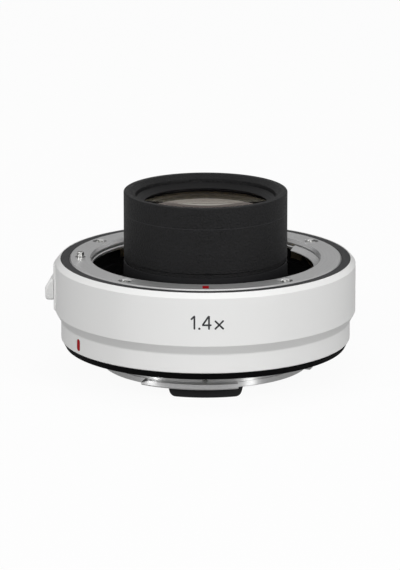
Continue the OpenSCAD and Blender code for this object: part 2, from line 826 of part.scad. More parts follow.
module rear_baffle() {
    color(black_plastic) difference() {
        union() {
            ring(0, baffle_r, baffle_low, baffle_top);
            ring(baffle_r - skirt_w, baffle_r, baffle_low, baffle_skirt_top);
            intersection() {
                rotate([90, 0, 0]) linear_extrude(throat_r) guard_outline();
                ring(baffle_r - guard_w, baffle_r, -guard_drop - 1, baffle_low + guard_root);
            }
        }
        translate([0, 0, baffle_low - 1]) linear_extrude(baffle_t + 2) window_outline();
        for (a = baffle_screw_angles) at_angle(a)
            spoke(small_shank_r + bond_gap, baffle_r - skirt_w - 1, baffle_r + 1, baffle_screw_z);
        for (s = [-1, 1]) at_angle(180 + s * block_screw_angle) translate([contact_row_r, 0, 0])
            post(tiny_shank_r + bond_gap, baffle_low - 1, baffle_top + 1);
        sector(film_r - 0.3, film_r + film_t + 0.3, baffle_low - 1, baffle_top + 1,
               film_angle - film_strip_half - 1, film_angle + film_strip_half + 1);
    }
}

module window_outline() {
    w = window_w / 2 - window_round;
    h = window_h / 2 - window_round;
    square([window_w, window_h - 2 * window_round], center = true);
    square([window_w - 2 * window_round, window_h], center = true);
    for (x = [-w, w]) for (y = [-h, h]) translate([x, y]) circle(r = window_round, $fn = 48);
}

module baffle_screws() {
    head_face = root_r + baffle_head_proud;
    color(steel) for (a = baffle_screw_angles) at_angle(a)
        translate([head_face, 0, baffle_screw_z]) rotate([0, 90, 0])
            cross_screw(baffle_head_r, baffle_head_h, small_shank_r, spigot_wall + skirt_w - 0.8);
}

// Stands its children at each contact of a row
module contact_row() {
    for (i = [0 : contact_n - 1])
        at_angle(180 + (i - (contact_n - 1) / 2) * contact_step) translate([contact_row_r, 0, 0]) children();
}

module rear_contact_block() {
    low = -guard_drop;
    in_r = baffle_r - block_w;
    color(black_plastic) difference() {
        lathe_part([
            [in_r, rear_block_top], [in_r, low + block_edge], [in_r + block_edge, low],
            [baffle_r - block_edge, low], [baffle_r, low + block_edge], [baffle_r, rear_block_top]],
            180 - block_half, 180 + block_half);
        contact_row() post(pad_contact_r + bond_gap, low - 1, rear_block_top + 1);
        for (s = [-1, 1]) at_angle(180 + s * block_screw_angle) translate([contact_row_r, 0, 0]) {
            post(tiny_shank_r + bond_gap, low - 1, rear_block_top + 1);
            post(tiny_head_r + seat_gap, low - 1, low + block_head_sink + tiny_head_h);
        }
    }
}

module rear_contacts() {
    color(gold) contact_row() post(pad_contact_r, pad_sink - guard_drop, rear_block_top);
}

module contact_block_screws() {
    color(steel) for (s = [-1, 1]) at_angle(180 + s * block_screw_angle)
        translate([contact_row_r, 0, block_head_sink - guard_drop]) mirror([0, 0, 1])
            cross_screw(tiny_head_r, tiny_head_h, tiny_shank_r,
                        guard_drop + baffle_top - block_head_sink - tiny_head_h - 2 * play);
}

module front_contact_block() {
    color(black_plastic) difference() {
        sector(front_block_in, front_block_r, front_block_low, front_block_top,
               180 - front_block_half, 180 + front_block_half);
        contact_row() {
            post(pin_bore_r, front_block_low - 1, front_block_top + 1);
            post(pin_well_r, front_block_low - 1, pin_well_top);
        }
        sector(contact_row_r, front_block_r - 0.5, front_block_low - 1, pin_low + seat_gap,
               180 - front_block_half + 4, 180 + front_block_half - 4);
        for (s = [-1, 1]) at_angle(180 + s * front_block_screw_angle) translate([front_block_screw_r, 0, 0]) {
            post(small_shank_r + bond_gap, front_block_low - 1, front_block_top + 1);
            post(small_head_r + seat_gap, front_block_top - small_head_h - play, front_block_top + 1);
        }
    }
}

module front_block_screws() {
    color(steel) for (s = [-1, 1]) at_angle(180 + s * front_block_screw_angle)
        translate([front_block_screw_r, 0, front_block_top - play])
            cross_screw(small_head_r, small_head_h, small_shank_r,
                        front_block_top - ledge_low - small_head_h - screw_end);
}

// Sprung pins with round tips and a collar that keeps them in their block
module contact_pins() {
    tip = front_block_top + contact_proud;
    color(gold) contact_row() {
        post(contact_r, pin_low, tip - contact_r);
        translate([0, 0, tip - contact_r]) sphere(r = contact_r, $fn = 48);
        post(pin_collar_r, collar_low, collar_low + collar_h);
    }
}

// Spring comb: one finger under each contact pin
module contact_comb() {
    base_r = front_block_r - 0.6;
    base_in = base_r - 0.8;
    tip_r = contact_row_r - 0.4;
    finger_w = 0.7;
    root_in = 0.04;
    top = pin_low - seat_gap;
    color(bronze) {
        sector(base_in, base_r, front_block_low, front_block_low + comb_t,
               180 - front_block_half + 5, 180 + front_block_half - 5);
        for (i = [0 : contact_n - 1]) at_angle(180 + (i - (contact_n - 1) / 2) * contact_step)
            translate([0, finger_w / 2, 0]) rotate([90, 0, 0]) linear_extrude(finger_w) polygon([
                [base_in + root_in, front_block_low + root_in], [tip_r, top - comb_t + root_in],
                [tip_r, top], [base_in + root_in, front_block_low + comb_t - root_in]]);
    }
}

// Printed film from the camera-side contacts up to the lens-side ones
module flex_cable() {
    foot_in = film_r - 0.1;
    root_in = 0.04;
    color(film_amber) difference() {
        union() {
            sector(foot_in, baffle_r - play, rear_block_top, baffle_low, 180 - film_half, 180 + film_half);
            sector(film_r, film_r + film_t, rear_block_top + root_in, ledge_top + film_t - root_in,
                   film_angle - film_strip_half, film_angle + film_strip_half);
            sector(foot_in, front_block_r, ledge_top, ledge_top + film_t,
                   180 - front_block_half, 180 + front_block_half);
        }
        for (s = [-1, 1]) at_angle(180 + s * front_block_screw_angle) translate([front_block_screw_r, 0, 0])
            post(small_shank_r + play, ledge_top - 1, ledge_top + 1);
    }
}

module circuit_board() {
    color(board_green) difference() {
        sector(board_in, board_r, board_low, board_top, -board_half, board_half);
        for (a = board_screw_angles) at_angle(a) translate([board_mid_r, 0, 0])
            post(small_shank_r + seat_gap, board_low - 1, board_top + 1);
    }
}

module circuit_chips() {
    color(black_plastic) for (c = chips) at_angle(c[0])
        translate([board_mid_r - c[1] / 2, -c[2] / 2, board_top]) cube([c[1], c[2], chip_h]);
}

module board_screws() {
    color(steel) for (a = board_screw_angles) at_angle(a)
        translate([board_mid_r, 0, board_top + small_head_h])
            cross_screw(small_head_r, small_head_h, small_shank_r, board_t + board_boss_h + board_screw_grip);
}

module lock_pin() {
    tip = 0.2;
    color(steel) at_angle(lock_angle) translate([lock_r, 0, 0]) rotate_extrude($fn = 48) polygon([
        [0, pin_bottom], [pin_r, pin_bottom], [pin_r, pin_top - tip], [pin_r - tip, pin_top], [0, pin_top]]);
}

module lock_pin_bush() {
    color(bronze) at_angle(lock_angle) translate([lock_r, 0, 0]) difference() {
        post(bush_r, bush_low, bush_top);
        post(pin_r + slide_gap, bush_low - 1, bush_top + 1);
    }
}

// Carries the lock pin and the lever
module lock_slide() {
    color(steel) difference() {
        sector(slide_in, slide_out, slide_low, slide_top, pocket[0] + slide_side, pocket[1] - slide_side);
        at_angle(lock_angle) translate([lock_r, 0, 0]) post(pin_r + bond_gap, slide_low - 1, slide_top + 1);
        for (s = [-1, 1]) at_angle(lever_angle + s * lever_screw_side) {
            spoke(small_shank_r + bond_gap, slide_in - 1, slide_out + 1, lever_screw_z);
            spoke(small_head_r + seat_gap, slide_in - 1, slide_in + lever_well, lever_screw_z);
        }
    }
}

module lever_screws() {
    color(steel) for (s = [-1, 1]) at_angle(lever_angle + s * lever_screw_side)
        translate([slide_in + lever_well - small_head_h, 0, lever_screw_z]) rotate([0, -90, 0])
            cross_screw(small_head_r, small_head_h, small_shank_r, knob_in - slide_in - lever_well);
}

module release_lever() {
    profile = concat(
        [[knob_in, knob_low]],
        arc(knob_r - knob_edge, knob_low + knob_edge, knob_edge, -90, 0, 5),
        arc(knob_r - knob_brow, knob_top - knob_brow * 1.25, knob_brow, 0, 62, 6),
        [[knob_in, knob_top]]);
    color(white_paint) difference() {
        union() {
            lathe_part(profile, lever_angle - knob_half, lever_angle + knob_half);
            sector(slide_out + seat_gap, knob_in + 0.5, shank_low, shank_low + shank_h,
                   lever_angle - shank_half, lever_angle + shank_half);
        }
        at_angle(lever_angle + knob_half * 0.55)
            translate([knob_r + scoop_r * 0.52, 0, knob_top + scoop_r * 0.42]) sphere(r = scoop_r);
        for (s = [-1, 1]) at_angle(lever_angle + s * lever_screw_side)
            spoke(small_shank_r + bond_gap, slide_out - 1, knob_in + 0.2, lever_screw_z);
    }
}

// Middle of the spring's wire, as a share of its whole length
spring_low = pocket_low + spring_end_gap + spring_wire_r;
spring_high = slide_low - spring_end_gap - spring_wire_r;
function spring_at(u) = [spring_r * cos(360 * spring_turns * u), spring_r * sin(360 * spring_turns * u),
                         spring_low + (spring_high - spring_low) * u];

spring_n = spring_turns * spring_rings;
spring_path = [for (i = [0 : spring_n]) spring_at(i / spring_n)];
spring_gap = min([for (i = [0 : spring_n - spring_rings]) for (j = [i + spring_rings - 1 : spring_n])
                  norm(spring_path[j] - spring_path[i])]) - 2 * spring_wire_r;
echo(spring_gap = spring_gap);

// One unbroken helical wire
module lock_spring() {
    ring_points = [for (i = [0 : spring_n]) for (k = [0 : spring_sides - 1])
        let (a = 360 * spring_turns * i / spring_n, b = 360 * k / spring_sides, out = spring_wire_r * cos(b))
        spring_path[i] + [out * cos(a), out * sin(a), spring_wire_r * sin(b)]];
    side_faces = [for (i = [0 : spring_n - 1]) for (k = [0 : spring_sides - 1])
        let (a = i * spring_sides + k, b = i * spring_sides + (k + 1) % spring_sides) for (f = [0, 1])
        f == 0 ? [a, b, b + spring_sides] : [a, b + spring_sides, a + spring_sides]];
    last = spring_n * spring_sides;
    end_faces = [for (k = [1 : spring_sides - 2]) for (f = [0, 1])
        f == 0 ? [0, k + 1, k] : [last, last + k, last + k + 1]];
    color(steel) at_angle(lock_angle) translate([lock_r, 0, 0])
        polyhedron(ring_points, concat(side_faces, end_faces));
}

outer_barrel();
front_trim_ring();
front_mount();
front_mount_screws();
front_shim();
bayonet_springs();
bayonet_spring_screws();
front_index_mark();
barrel_index_mark();
main_frame();
throat_liner();
lens_barrel();
lens_barrel_screws();
nose_ring();
front_retaining_ring();
lens_1();
lens_2();
front_spacer();
lens_3();
lens_4();
lens_5();
lens_6();
rear_spacer();
lens_7();
rear_retaining_ring();
rear_mount();
rear_mount_screws();
rear_shim();
rear_seal();
rear_baffle();
baffle_screws();
rear_contact_block();
rear_contacts();
contact_block_screws();
front_contact_block();
front_block_screws();
contact_pins();
contact_comb();
flex_cable();
circuit_board();
circuit_chips();
board_screws();
lock_pin();
lock_pin_bush();
lock_slide();
lock_spring();
release_lever();
lever_screws();
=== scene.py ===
"""Looks of a camera teleconverter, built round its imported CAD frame.

Lengths in the outlines are millimetres, angles are degrees counted from -Y towards +X, and the finished
meshes are in metres in the frame of the CAD part.
"""

import json
import math

import bmesh
import bpy
from mathutils import Matrix, Vector


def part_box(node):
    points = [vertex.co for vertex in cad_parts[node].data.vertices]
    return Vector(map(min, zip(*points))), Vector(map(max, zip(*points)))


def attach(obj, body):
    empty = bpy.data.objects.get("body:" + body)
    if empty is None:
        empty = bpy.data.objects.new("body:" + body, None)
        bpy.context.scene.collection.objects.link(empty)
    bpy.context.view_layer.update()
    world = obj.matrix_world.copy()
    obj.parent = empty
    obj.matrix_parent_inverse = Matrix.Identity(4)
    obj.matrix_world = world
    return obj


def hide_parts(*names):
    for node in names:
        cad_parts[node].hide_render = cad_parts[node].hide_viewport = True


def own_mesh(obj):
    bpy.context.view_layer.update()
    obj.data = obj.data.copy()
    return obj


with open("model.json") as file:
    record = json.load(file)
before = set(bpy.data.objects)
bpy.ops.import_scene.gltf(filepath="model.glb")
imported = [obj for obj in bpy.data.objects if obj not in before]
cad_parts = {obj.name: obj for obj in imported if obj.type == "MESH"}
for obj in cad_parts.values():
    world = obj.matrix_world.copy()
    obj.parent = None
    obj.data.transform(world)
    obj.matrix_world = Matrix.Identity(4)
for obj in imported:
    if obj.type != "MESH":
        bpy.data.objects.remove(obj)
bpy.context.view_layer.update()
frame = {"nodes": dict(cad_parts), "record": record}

bl_info = {
    "name": "Teleconverter looks",
    "version": (1, 0, 0),
    "blender": (4, 5, 0),
    "location": "View3D > Sidebar > Converter",
    "description": "Builds the dressed pieces of a camera teleconverter round its CAD frame",
    "category": "Object",
}

MM = 0.001
# Radians that a wave texture turns in one unit; half a millimetre to the radian gives bands 3 mm apart
WAVE_RATE = 20
LEVER_ANGLE = -97.0
LEVER_Z = 12.1
LOCK_ANGLE = -90.0
LOCK_R = 29.65
FRONT_SCREWS = (-121.7, -38.0, 38.0, 121.7)
FRONT_SCREW_R = 29.9
REAR_SCREWS = (45, 135, 225, 315)
REAR_SCREW_R = 29.45
SPIGOT_SCREWS = (0, 120, 210)
SPIGOT_SCREW_R = 24.45
SPIGOT_SCREW_Z = -3.25
CONTACT_ROW_R = 21.9
CONTACT_STEP = math.radians(4.4)


def hex_linear(code):
    """Linear colour of an sRGB hex value."""
    parts = [int(code[i:i + 2], 16) / 255 for i in (1, 3, 5)]
    return tuple(c / 12.92 if c <= 0.04045 else ((c + 0.055) / 1.055) ** 2.4 for c in parts)


def length(label, note, value, low=0.0):
    """A length in metres that a user may change; the value is given in millimetres."""
    return bpy.props.FloatProperty(name=label, description=note, default=value * MM, min=low * MM,
                                   unit="LENGTH", precision=5)


def colour(label, note, code):
    """A colour that a user may change; the value is given as sRGB hex."""
    return bpy.props.FloatVectorProperty(name=label, description=note, default=hex_linear(code),
                                         size=3, min=0.0, max=1.0, subtype="COLOR")


class ConverterSizes(bpy.types.PropertyGroup):
    """Sizes of the dressed pieces."""

    barrel_radius: length("Barrel radius", "Radius of the white barrel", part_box("outer_barrel")[1].y / MM)
    barrel_top: length("Barrel top", "Height of the white rim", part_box("outer_barrel")[1].z / MM)
    register: length("Register", "Height of the lens-side register face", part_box("front_mount")[1].z / MM)
    tube_radius: length("Tube radius", "Radius of the lens tube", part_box("nose_ring")[1].x / MM)
    tube_top: length("Tube top", "Height of the lens tube's rim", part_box("nose_ring")[1].z / MM)
    edge: length("Edge softness", "Radius of the broken edges on turned parts", 0.08)
    screw_head: length("Screw head", "Radius of a mount screw's head", 1.45)
    screw_slot: length("Screw slot", "Width of the cross recess in a mount screw", 0.46)
    figure_height: length("Figure height", "Height of the magnification figure", 3.3)
    figure_stroke: length("Figure stroke", "Line width of the magnification figure", 0.41)
    contact_count: bpy.props.IntProperty(name="Contacts", description="Contacts in each row",
                                         default=12, min=1, max=16)
    turn_step: bpy.props.FloatProperty(
        name="Turning step", description="Angle between two outlines of a ring", default=math.radians(1.5),
        min=math.radians(0.5), max=math.radians(6), subtype="ANGLE")


class ConverterColours(bpy.types.PropertyGroup):
    """Colours of the finishes."""

    enamel: colour("White enamel", "Baked enamel of the barrel and the lever", "#EEEEED")
    tube: colour("Black enamel", "Textured enamel of the lens tube", "#101011")
    anodised: colour("Black anodising", "Anodised frame and rings", "#0D0D0E")
    plastic: colour("Black plastic", "Moulded floor, guard and contact blocks", "#131315")
    trim: colour("Trim ring", "Anodised ring round the lens mount", "#272729")
    chrome: colour("Satin chrome", "Plated brass of both mounts", "#C8C8C8")
    steel: colour("Stainless steel", "Screws, pin and spring", "#C4C4C2")
    bronze: colour("Phosphor bronze", "Leaf springs and bush", "#8F846E")
    gold: colour("Gold plate", "Contacts", "#D9B25F")
    red: colour("Red enamel", "Index marks", "#A00C15")
    ink: colour("Figure ink", "Magnification figure", "#2A2A2C")
    board: colour("Solder mask", "Circuit board", "#1E5A36")
    film: colour("Polyimide film", "Flexible cable", "#A8641E")
    rubber: colour("Rubber", "Skirt at the camera mount", "#070708")
    paper: colour("Paper", "Floor of the studio", "#F4F4F4")
    table: colour("Table", "Tone of the light that the floor throws back", "#4E4E4E")
    card: colour("Card", "Card behind the camera's view, which the plated faces reflect", "#F0F0F0")
    shade: colour("Grey card", "Card low behind the part, which darkens what it reflects there", "#5A5A5A")


def sizes():
    return bpy.context.scene.converter_sizes


def tint(name):
    """A colour of the panel as the four numbers a socket takes."""
    return (*getattr(bpy.context.scene.converter_colours, name), 1.0)


def add(tree, kind, settings=None, inputs=None):
    """Adds a node with its settings; an input takes a number or another node's output."""
    node = tree.nodes.new(kind)
    for name, value in (settings or {}).items():
        setattr(node, name, value)
    for key, value in (inputs or {}).items():
        if isinstance(value, bpy.types.NodeSocket):
            tree.links.new(value, node.inputs[key])
        else:
            node.inputs[key].default_value = value
    return node


def per_mm(size):
    """Texture scale at which one feature is this many millimetres wide."""
    return 1.0 / (size * MM)


def blank(name):
    """An empty material, its node tree and the coordinates of the piece."""
    made = bpy.data.materials.new(name)
    made.use_nodes = True
    made.node_tree.nodes.clear()
    return made, made.node_tree, add(made.node_tree, "ShaderNodeTexCoord").outputs["Object"]


def coat(made, base, settings, height=None, depth=0.0, rough=None):
    """Closes a material: one principled shader, with a relief and a range of roughness that follows it."""
    tree = made.node_tree
    inputs = {"Base Color": base, **settings}
    if height is not None:
        inputs["Roughness"] = add(tree, "ShaderNodeMapRange", {}, {
            "Value": height, "From Min": 0.25, "From Max": 0.75,
            "To Min": rough[0], "To Max": rough[1]}).outputs["Result"]
        inputs["Normal"] = add(tree, "ShaderNodeBump", {}, {
            "Strength": 1.0, "Distance": depth * MM, "Height": height}).outputs["Normal"]
    shader = add(tree, "ShaderNodeBsdfPrincipled", {}, inputs)
    add(tree, "ShaderNodeOutputMaterial", {}, {"Surface": shader.outputs["BSDF"]})
    return made


def mottled(tree, place, colour_name, width, amount):
    """The finish's colour with soft darker patches of this width in millimetres."""
    cloud = add(tree, "ShaderNodeTexNoise", {}, {"Vector": place, "Scale": per_mm(width), "Detail": 3.0})
    base = tint(colour_name)
    return add(tree, "ShaderNodeMix", {"data_type": "RGBA"}, {
        0: cloud.outputs["Fac"], 6: tuple(c * (1 - amount) for c in base[:3]) + (1.0,),
        7: tuple(min(1.0, c * (1 + amount)) for c in base[:3]) + (1.0,)}).outputs[2]


def turning_lines(tree, place, pitch):
    """Rings left by a lathe tool, this many millimetres apart, on faces and on walls alike."""
    parts = add(tree, "ShaderNodeSeparateXYZ", {}, {"Vector": place})
    flat = add(tree, "ShaderNodeCombineXYZ", {}, {"X": parts.outputs["X"], "Y": parts.outputs["Y"]})
    radius = add(tree, "ShaderNodeVectorMath", {"operation": "LENGTH"}, {0: flat.outputs["Vector"]})
    along = add(tree, "ShaderNodeMath", {"operation": "ADD"}, {
        0: radius.outputs["Value"], 1: parts.outputs["Z"]})
    return add(tree, "ShaderNodeTexNoise", {"noise_dimensions": "1D"}, {
        "W": along.outputs["Value"], "Scale": per_mm(pitch), "Detail": 2.0}).outputs["Fac"]


def grained(name, colour_name, settings, patch, amount, grain, detail, depth, rough):
    """A finish in soft patches whose relief and gloss follow one random grain; widths in millimetres."""
    made, tree, place = blank(name)
    noise = add(tree, "ShaderNodeTexNoise", {}, {
        "Vector": place, "Scale": per_mm(grain), "Detail": detail})
    base = mottled(tree, place, colour_name, patch, amount)
    return coat(made, base, settings, noise.outputs["Fac"], depth, rough)


def white_enamel():
    # Baked enamel on cast metal: satin, even, with an orange peel a third of a millimetre wide
    return grained("white_baked_enamel", "enamel", {"Specular IOR Level": 0.5}, patch=11.0, amount=0.012,
                   grain=0.35, detail=2.0, depth=0.004, rough=(0.32, 0.4))


def black_textured_enamel():
    # Sprayed black enamel, its grit drawn at 0.4 mm so that it shows: matt, with a grey bloom at the edges
    made, tree, place = blank("black_textured_enamel")
    grit = add(tree, "ShaderNodeTexNoise", {}, {
        "Vector": place, "Scale": per_mm(0.4), "Detail": 3.0, "Roughness": 0.6}).outputs["Fac"]
    sharp = add(tree, "ShaderNodeMapRange", {}, {"Value": grit, "From Min": 0.25, "From Max": 0.75})
    bright = tuple(2.2 * c for c in tint("tube")[:3])
    speck = add(tree, "ShaderNodeMix", {"data_type": "RGBA"}, {
        0: sharp.outputs["Result"], 6: (0.0, 0.0, 0.0, 1.0), 7: (*bright, 1.0)})
    return coat(made, speck.outputs[2], {"Specular IOR Level": 0.2}, grit, depth=0.24, rough=(0.43, 0.62))


def black_anodised():
    # Turned and anodised aluminium: near black, with tool rings drawn at 0.25 mm so that they show
    made, tree, place = blank("black_anodised_aluminium")
    return coat(made, mottled(tree, place, "anodised", width=4.0, amount=0.1), {"Specular IOR Level": 0.2},
                turning_lines(tree, place, pitch=0.25), depth=0.008, rough=(0.42, 0.6))


def black_plastic():
    # Moulded glass-filled plastic with a spark-eroded skin: dull black with a fine pebble
    made, tree, place = blank("black_moulded_plastic")
    pebble = add(tree, "ShaderNodeTexVoronoi", {}, {"Vector": place, "Scale": per_mm(0.3)})
    return coat(made, mottled(tree, place, "plastic", width=3.0, amount=0.12), {"Specular IOR Level": 0.22},
                pebble.outputs["Distance"], depth=0.012, rough=(0.55, 0.72))


def dark_trim():
    # Bead-blasted dark grey anodising: even and soft, with a sparkle of 0.15 mm grains
    return grained("grey_anodised_aluminium", "trim", {"Specular IOR Level": 0.25}, patch=0.4, amount=0.07,
                   grain=0.15, detail=3.0, depth=0.006, rough=(0.48, 0.62))


def satin_chrome():
    # Satin chrome over turned brass: grey mirror softened by tool rings, drawn at 0.4 mm so that they show
    made, tree, place = blank("satin_chrome_plate")
    around_axis = add(tree, "ShaderNodeTangent", {"direction_type": "RADIAL", "axis": "Z"})
    settings = {"Metallic": 1.0, "Anisotropic": 0.8, "Anisotropic Rotation": 0.25,
                "Tangent": around_axis.outputs["Tangent"]}
    return coat(made, mottled(tree, place, "chrome", width=0.6, amount=0.08), settings,
                turning_lines(tree, place, pitch=0.4), depth=0.0015, rough=(0.28, 0.4))


def stainless_steel():
    # Cold-headed stainless steel: bright, with a fine random grain of 0.1 mm
    return grained("stainless_steel", "steel", {"Metallic": 1.0}, patch=0.8, amount=0.05,
                   grain=0.1, detail=2.0, depth=0.0015, rough=(0.16, 0.3))


def phosphor_bronze():
    # Rolled phosphor bronze strip: brown metal with long rolling streaks
    made, tree, place = blank("phosphor_bronze")
    squeezed = add(tree, "ShaderNodeMapping", {}, {"Vector": place, "Scale": (0.15, 1.0, 1.0)})
    streak = add(tree, "ShaderNodeTexNoise", {}, {
        "Vector": squeezed.outputs["Vector"], "Scale": per_mm(0.2), "Detail": 3.0})
    return coat(made, mottled(tree, place, "bronze", width=1.5, amount=0.15), {"Metallic": 1.0},
                streak.outputs["Fac"], depth=0.003, rough=(0.3, 0.46))


def gold_plate():
    # Gold over nickel: warm and bright, with faint wiping marks of 0.2 mm
    return grained("gold_plate", "gold", {"Metallic": 1.0}, patch=0.7, amount=0.06,
                   grain=0.2, detail=2.0, depth=0.001, rough=(0.18, 0.32))


def red_enamel():
    # Enamel flooded into an engraved line: deep dull red, slightly uneven over half a millimetre
    return grained("red_fill_enamel", "red", {"Specular IOR Level": 0.08}, patch=0.6, amount=0.06,
                   grain=0.5, detail=1.0, depth=0.008, rough=(0.4, 0.5))


def figure_ink():
    # Pad-printed ink: dark grey and dull, thinner in specks of a quarter millimetre
    return grained("pad_printed_ink", "ink", {"Specular IOR Level": 0.35}, patch=0.3, amount=0.12,
                   grain=0.25, detail=3.0, depth=0.002, rough=(0.5, 0.66))


def solder_mask():
    # Glass-fibre board under green solder mask: glossy, with the weave as soft bands 3 mm apart
    made, tree, place = blank("solder_mask_green")
    weave = add(tree, "ShaderNodeTexWave", {"bands_direction": "X"}, {
        "Vector": place, "Scale": per_mm(0.5) / WAVE_RATE, "Distortion": 1.5})
    return coat(made, mottled(tree, place, "board", width=1.2, amount=0.18), {"Specular IOR Level": 0.5},
                weave.outputs["Fac"], depth=0.004, rough=(0.28, 0.4))


def polyimide_film():
    # Polyimide film over copper tracks: amber, with tracks 3 mm apart showing as bands
    made, tree, place = blank("polyimide_film")
    track = add(tree, "ShaderNodeTexWave", {"bands_direction": "X"}, {
        "Vector": place, "Scale": per_mm(0.5) / WAVE_RATE})
    return coat(made, mottled(tree, place, "film", width=0.9, amount=0.2), {"Specular IOR Level": 0.5},
                track.outputs["Fac"], depth=0.01, rough=(0.26, 0.4))


def nitrile_rubber():
    # Moulded nitrile rubber: very dull black with a powdery bloom in patches of two millimetres
    return grained("nitrile_rubber", "rubber", {"Specular IOR Level": 0.05}, patch=1.0, amount=0.25,
                   grain=2.0, detail=5.0, depth=0.01, rough=(0.6, 0.8))


def optical_glass(name, code, index):
    """Polished glass with an antireflection coat thin enough to tint its glint."""
    made, tree, place = blank(name)
    film = add(tree, "ShaderNodeTexNoise", {}, {"Vector": place, "Scale": per_mm(14.0), "Detail": 1.0})
    tone = hex_linear(code)
    clear = add(tree, "ShaderNodeMix", {"data_type": "RGBA"}, {
        0: film.outputs["Fac"], 6: (*tone, 1.0), 7: (*(0.9 * c for c in tone), 1.0)})
    return coat(made, clear.outputs[2], {
        "IOR": index, "Transmission Weight": 1.0, "Roughness": 0.02, "Thin Film Thickness": 115.0,
        "Thin Film IOR": 1.38})


def coated_glass():
    # Front lens under one coat of magnesium fluoride: clear, with a tan glint at low angles
    return optical_glass("coated_optical_glass", "#E4E2D6", 1.75)


def inner_glass():
    # Dense glass deeper in the tube: its colour is painted shade, olive and dark, since little light comes
    # back from there
    return optical_glass("dense_optical_glass", "#4C483C", 1.55)


FINISHES = {
    "white_paint": white_enamel, "black_enamel": black_textured_enamel, "black_anodised": black_anodised,
    "black_plastic": black_plastic, "dark_trim": dark_trim, "chrome": satin_chrome, "steel": stainless_steel,
    "bronze": phosphor_bronze, "gold": gold_plate, "red_enamel": red_enamel, "ink": figure_ink,
    "board_green": solder_mask, "film_amber": polyimide_film, "rubber": nitrile_rubber, "glass": coated_glass,
    "inner_glass": inner_glass,
}
made_finishes = {}


def finish_of(key):
    """The material of a finish, made once."""
    if key not in made_finishes:
        made_finishes[key] = FINISHES[key]()
    return made_finishes[key]


def outward(degrees):
    """Unit vector that points out from the axis at an angle."""
    a = math.radians(degrees)
    return Vector((math.sin(a), -math.cos(a), 0.0))


def standing(degrees, radius, height=0.0):
    """Placement at a radius and height with its own Z along the axis."""
    return Matrix.Translation(outward(degrees) * radius + Vector((0, 0, height)))


def facing_out(degrees, radius, height):
    """Placement at a radius and height with its own Z pointing outwards and its own Y along the axis."""
    out = outward(degrees)
    up = Vector((0, 0, 1))
    side = up.cross(out)
    turn = Matrix((side, up, out)).transposed().to_4x4()
    return Matrix.Translation(out * radius + up * height) @ turn


def rounded(loop, steps=4):
    """Closed outline in which each corner that carries a radius becomes an arc."""
    out = []
    for i, corner in enumerate(loop):
        at = Vector(corner[:2])
        if len(corner) < 3:
            out.append(tuple(at))
            continue
        before = Vector(loop[i - 1][:2]) - at
        after = Vector(loop[(i + 1) % len(loop)][:2]) - at
        half = before.angle(after) / 2
        reach = min(corner[2] / math.tan(half), 0.45 * min(before.length, after.length))
        radius = reach * math.tan(half)
        centre = at + (before.normalized() + after.normalized()).normalized() * (radius / math.sin(half))
        first = at + before.normalized() * reach - centre
        last = at + after.normalized() * reach - centre
        start = math.atan2(first.y, first.x)
        turn = (math.atan2(last.y, last.x) - start + math.pi) % (2 * math.pi) - math.pi
        for k in range(steps + 1):
            a = start + turn * k / steps
            out.append((centre.x + radius * math.cos(a), centre.y + radius * math.sin(a)))
    return out


def stand(name, data):
    """Puts new data into the scene as an object at the origin."""
    obj = bpy.data.objects.new(name, data)
    bpy.context.scene.collection.objects.link(obj)
    return obj


def piece(name, bm):
    """Merges and closes a mesh given in millimetres and keeps it as an object at the origin."""
    bmesh.ops.remove_doubles(bm, verts=bm.verts, dist=1e-4)
    bmesh.ops.dissolve_degenerate(bm, dist=1e-5, edges=bm.edges)
    bmesh.ops.recalc_face_normals(bm, faces=bm.faces)
    bmesh.ops.scale(bm, vec=(MM, MM, MM), verts=bm.verts)
    mesh = bpy.data.meshes.new(name)
    bm.to_mesh(mesh)
    bm.free()
    return stand(name, mesh)


def sweep(bm, stations, ring=True):
    """Adds a solid from outlines set round the axis; two at one angle leave a flat end between them."""
    rings = []
    for degrees, outline in stations:
        out = outward(degrees)
        rings.append([bm.verts.new(out * r + Vector((0, 0, z))) for r, z in outline])
    count = len(rings[0])
    pairs = list(zip(rings, rings[1:]))
    if ring:
        pairs.append((rings[-1], rings[0]))
    else:
        bm.faces.new(rings[0])
        bm.faces.new(rings[-1])
    for here, there in pairs:
        for k in range(count):
            after = (k + 1) % count
            bm.faces.new((here[k], here[after], there[after], there[k]))


def turned(name, stations, ring=True):
    """A piece swept round the axis."""
    bm = bmesh.new()
    sweep(bm, stations, ring)
    return piece(name, bm)


def around():
    """Angles of a full turn at the turning step."""
    count = round(2 * math.pi / sizes().turn_step)
    return [360 * k / count for k in range(count)]


def steps_between(start, end):
    """Angles from one to another, both included, at about the turning step."""
    count = max(2, round((end - start) / math.degrees(sizes().turn_step)))
    return [start + (end - start) * k / count for k in range(count + 1)]


def with_next(arcs):
    """Each arc with the start of the arc after it, counted on past a full turn."""
    following = [start for start, end in arcs[1:]] + [arcs[0][0] + 360]
    return [(start, end, after) for (start, end), after in zip(arcs, following)]


def oblong(half_x, half_y, radius, steps=4):
    """Rectangle about its own middle with rounded corners."""
    corners = ((-half_x, -half_y), (half_x, -half_y), (half_x, half_y), (-half_x, half_y))
    return rounded([(x, y, radius) for x, y in corners], steps)


def lathed(name, loop, steps=4):
    """A piece with one rounded outline all the way round."""
    outline = rounded(loop, steps)
    return turned(name, [(a, outline) for a in around()])


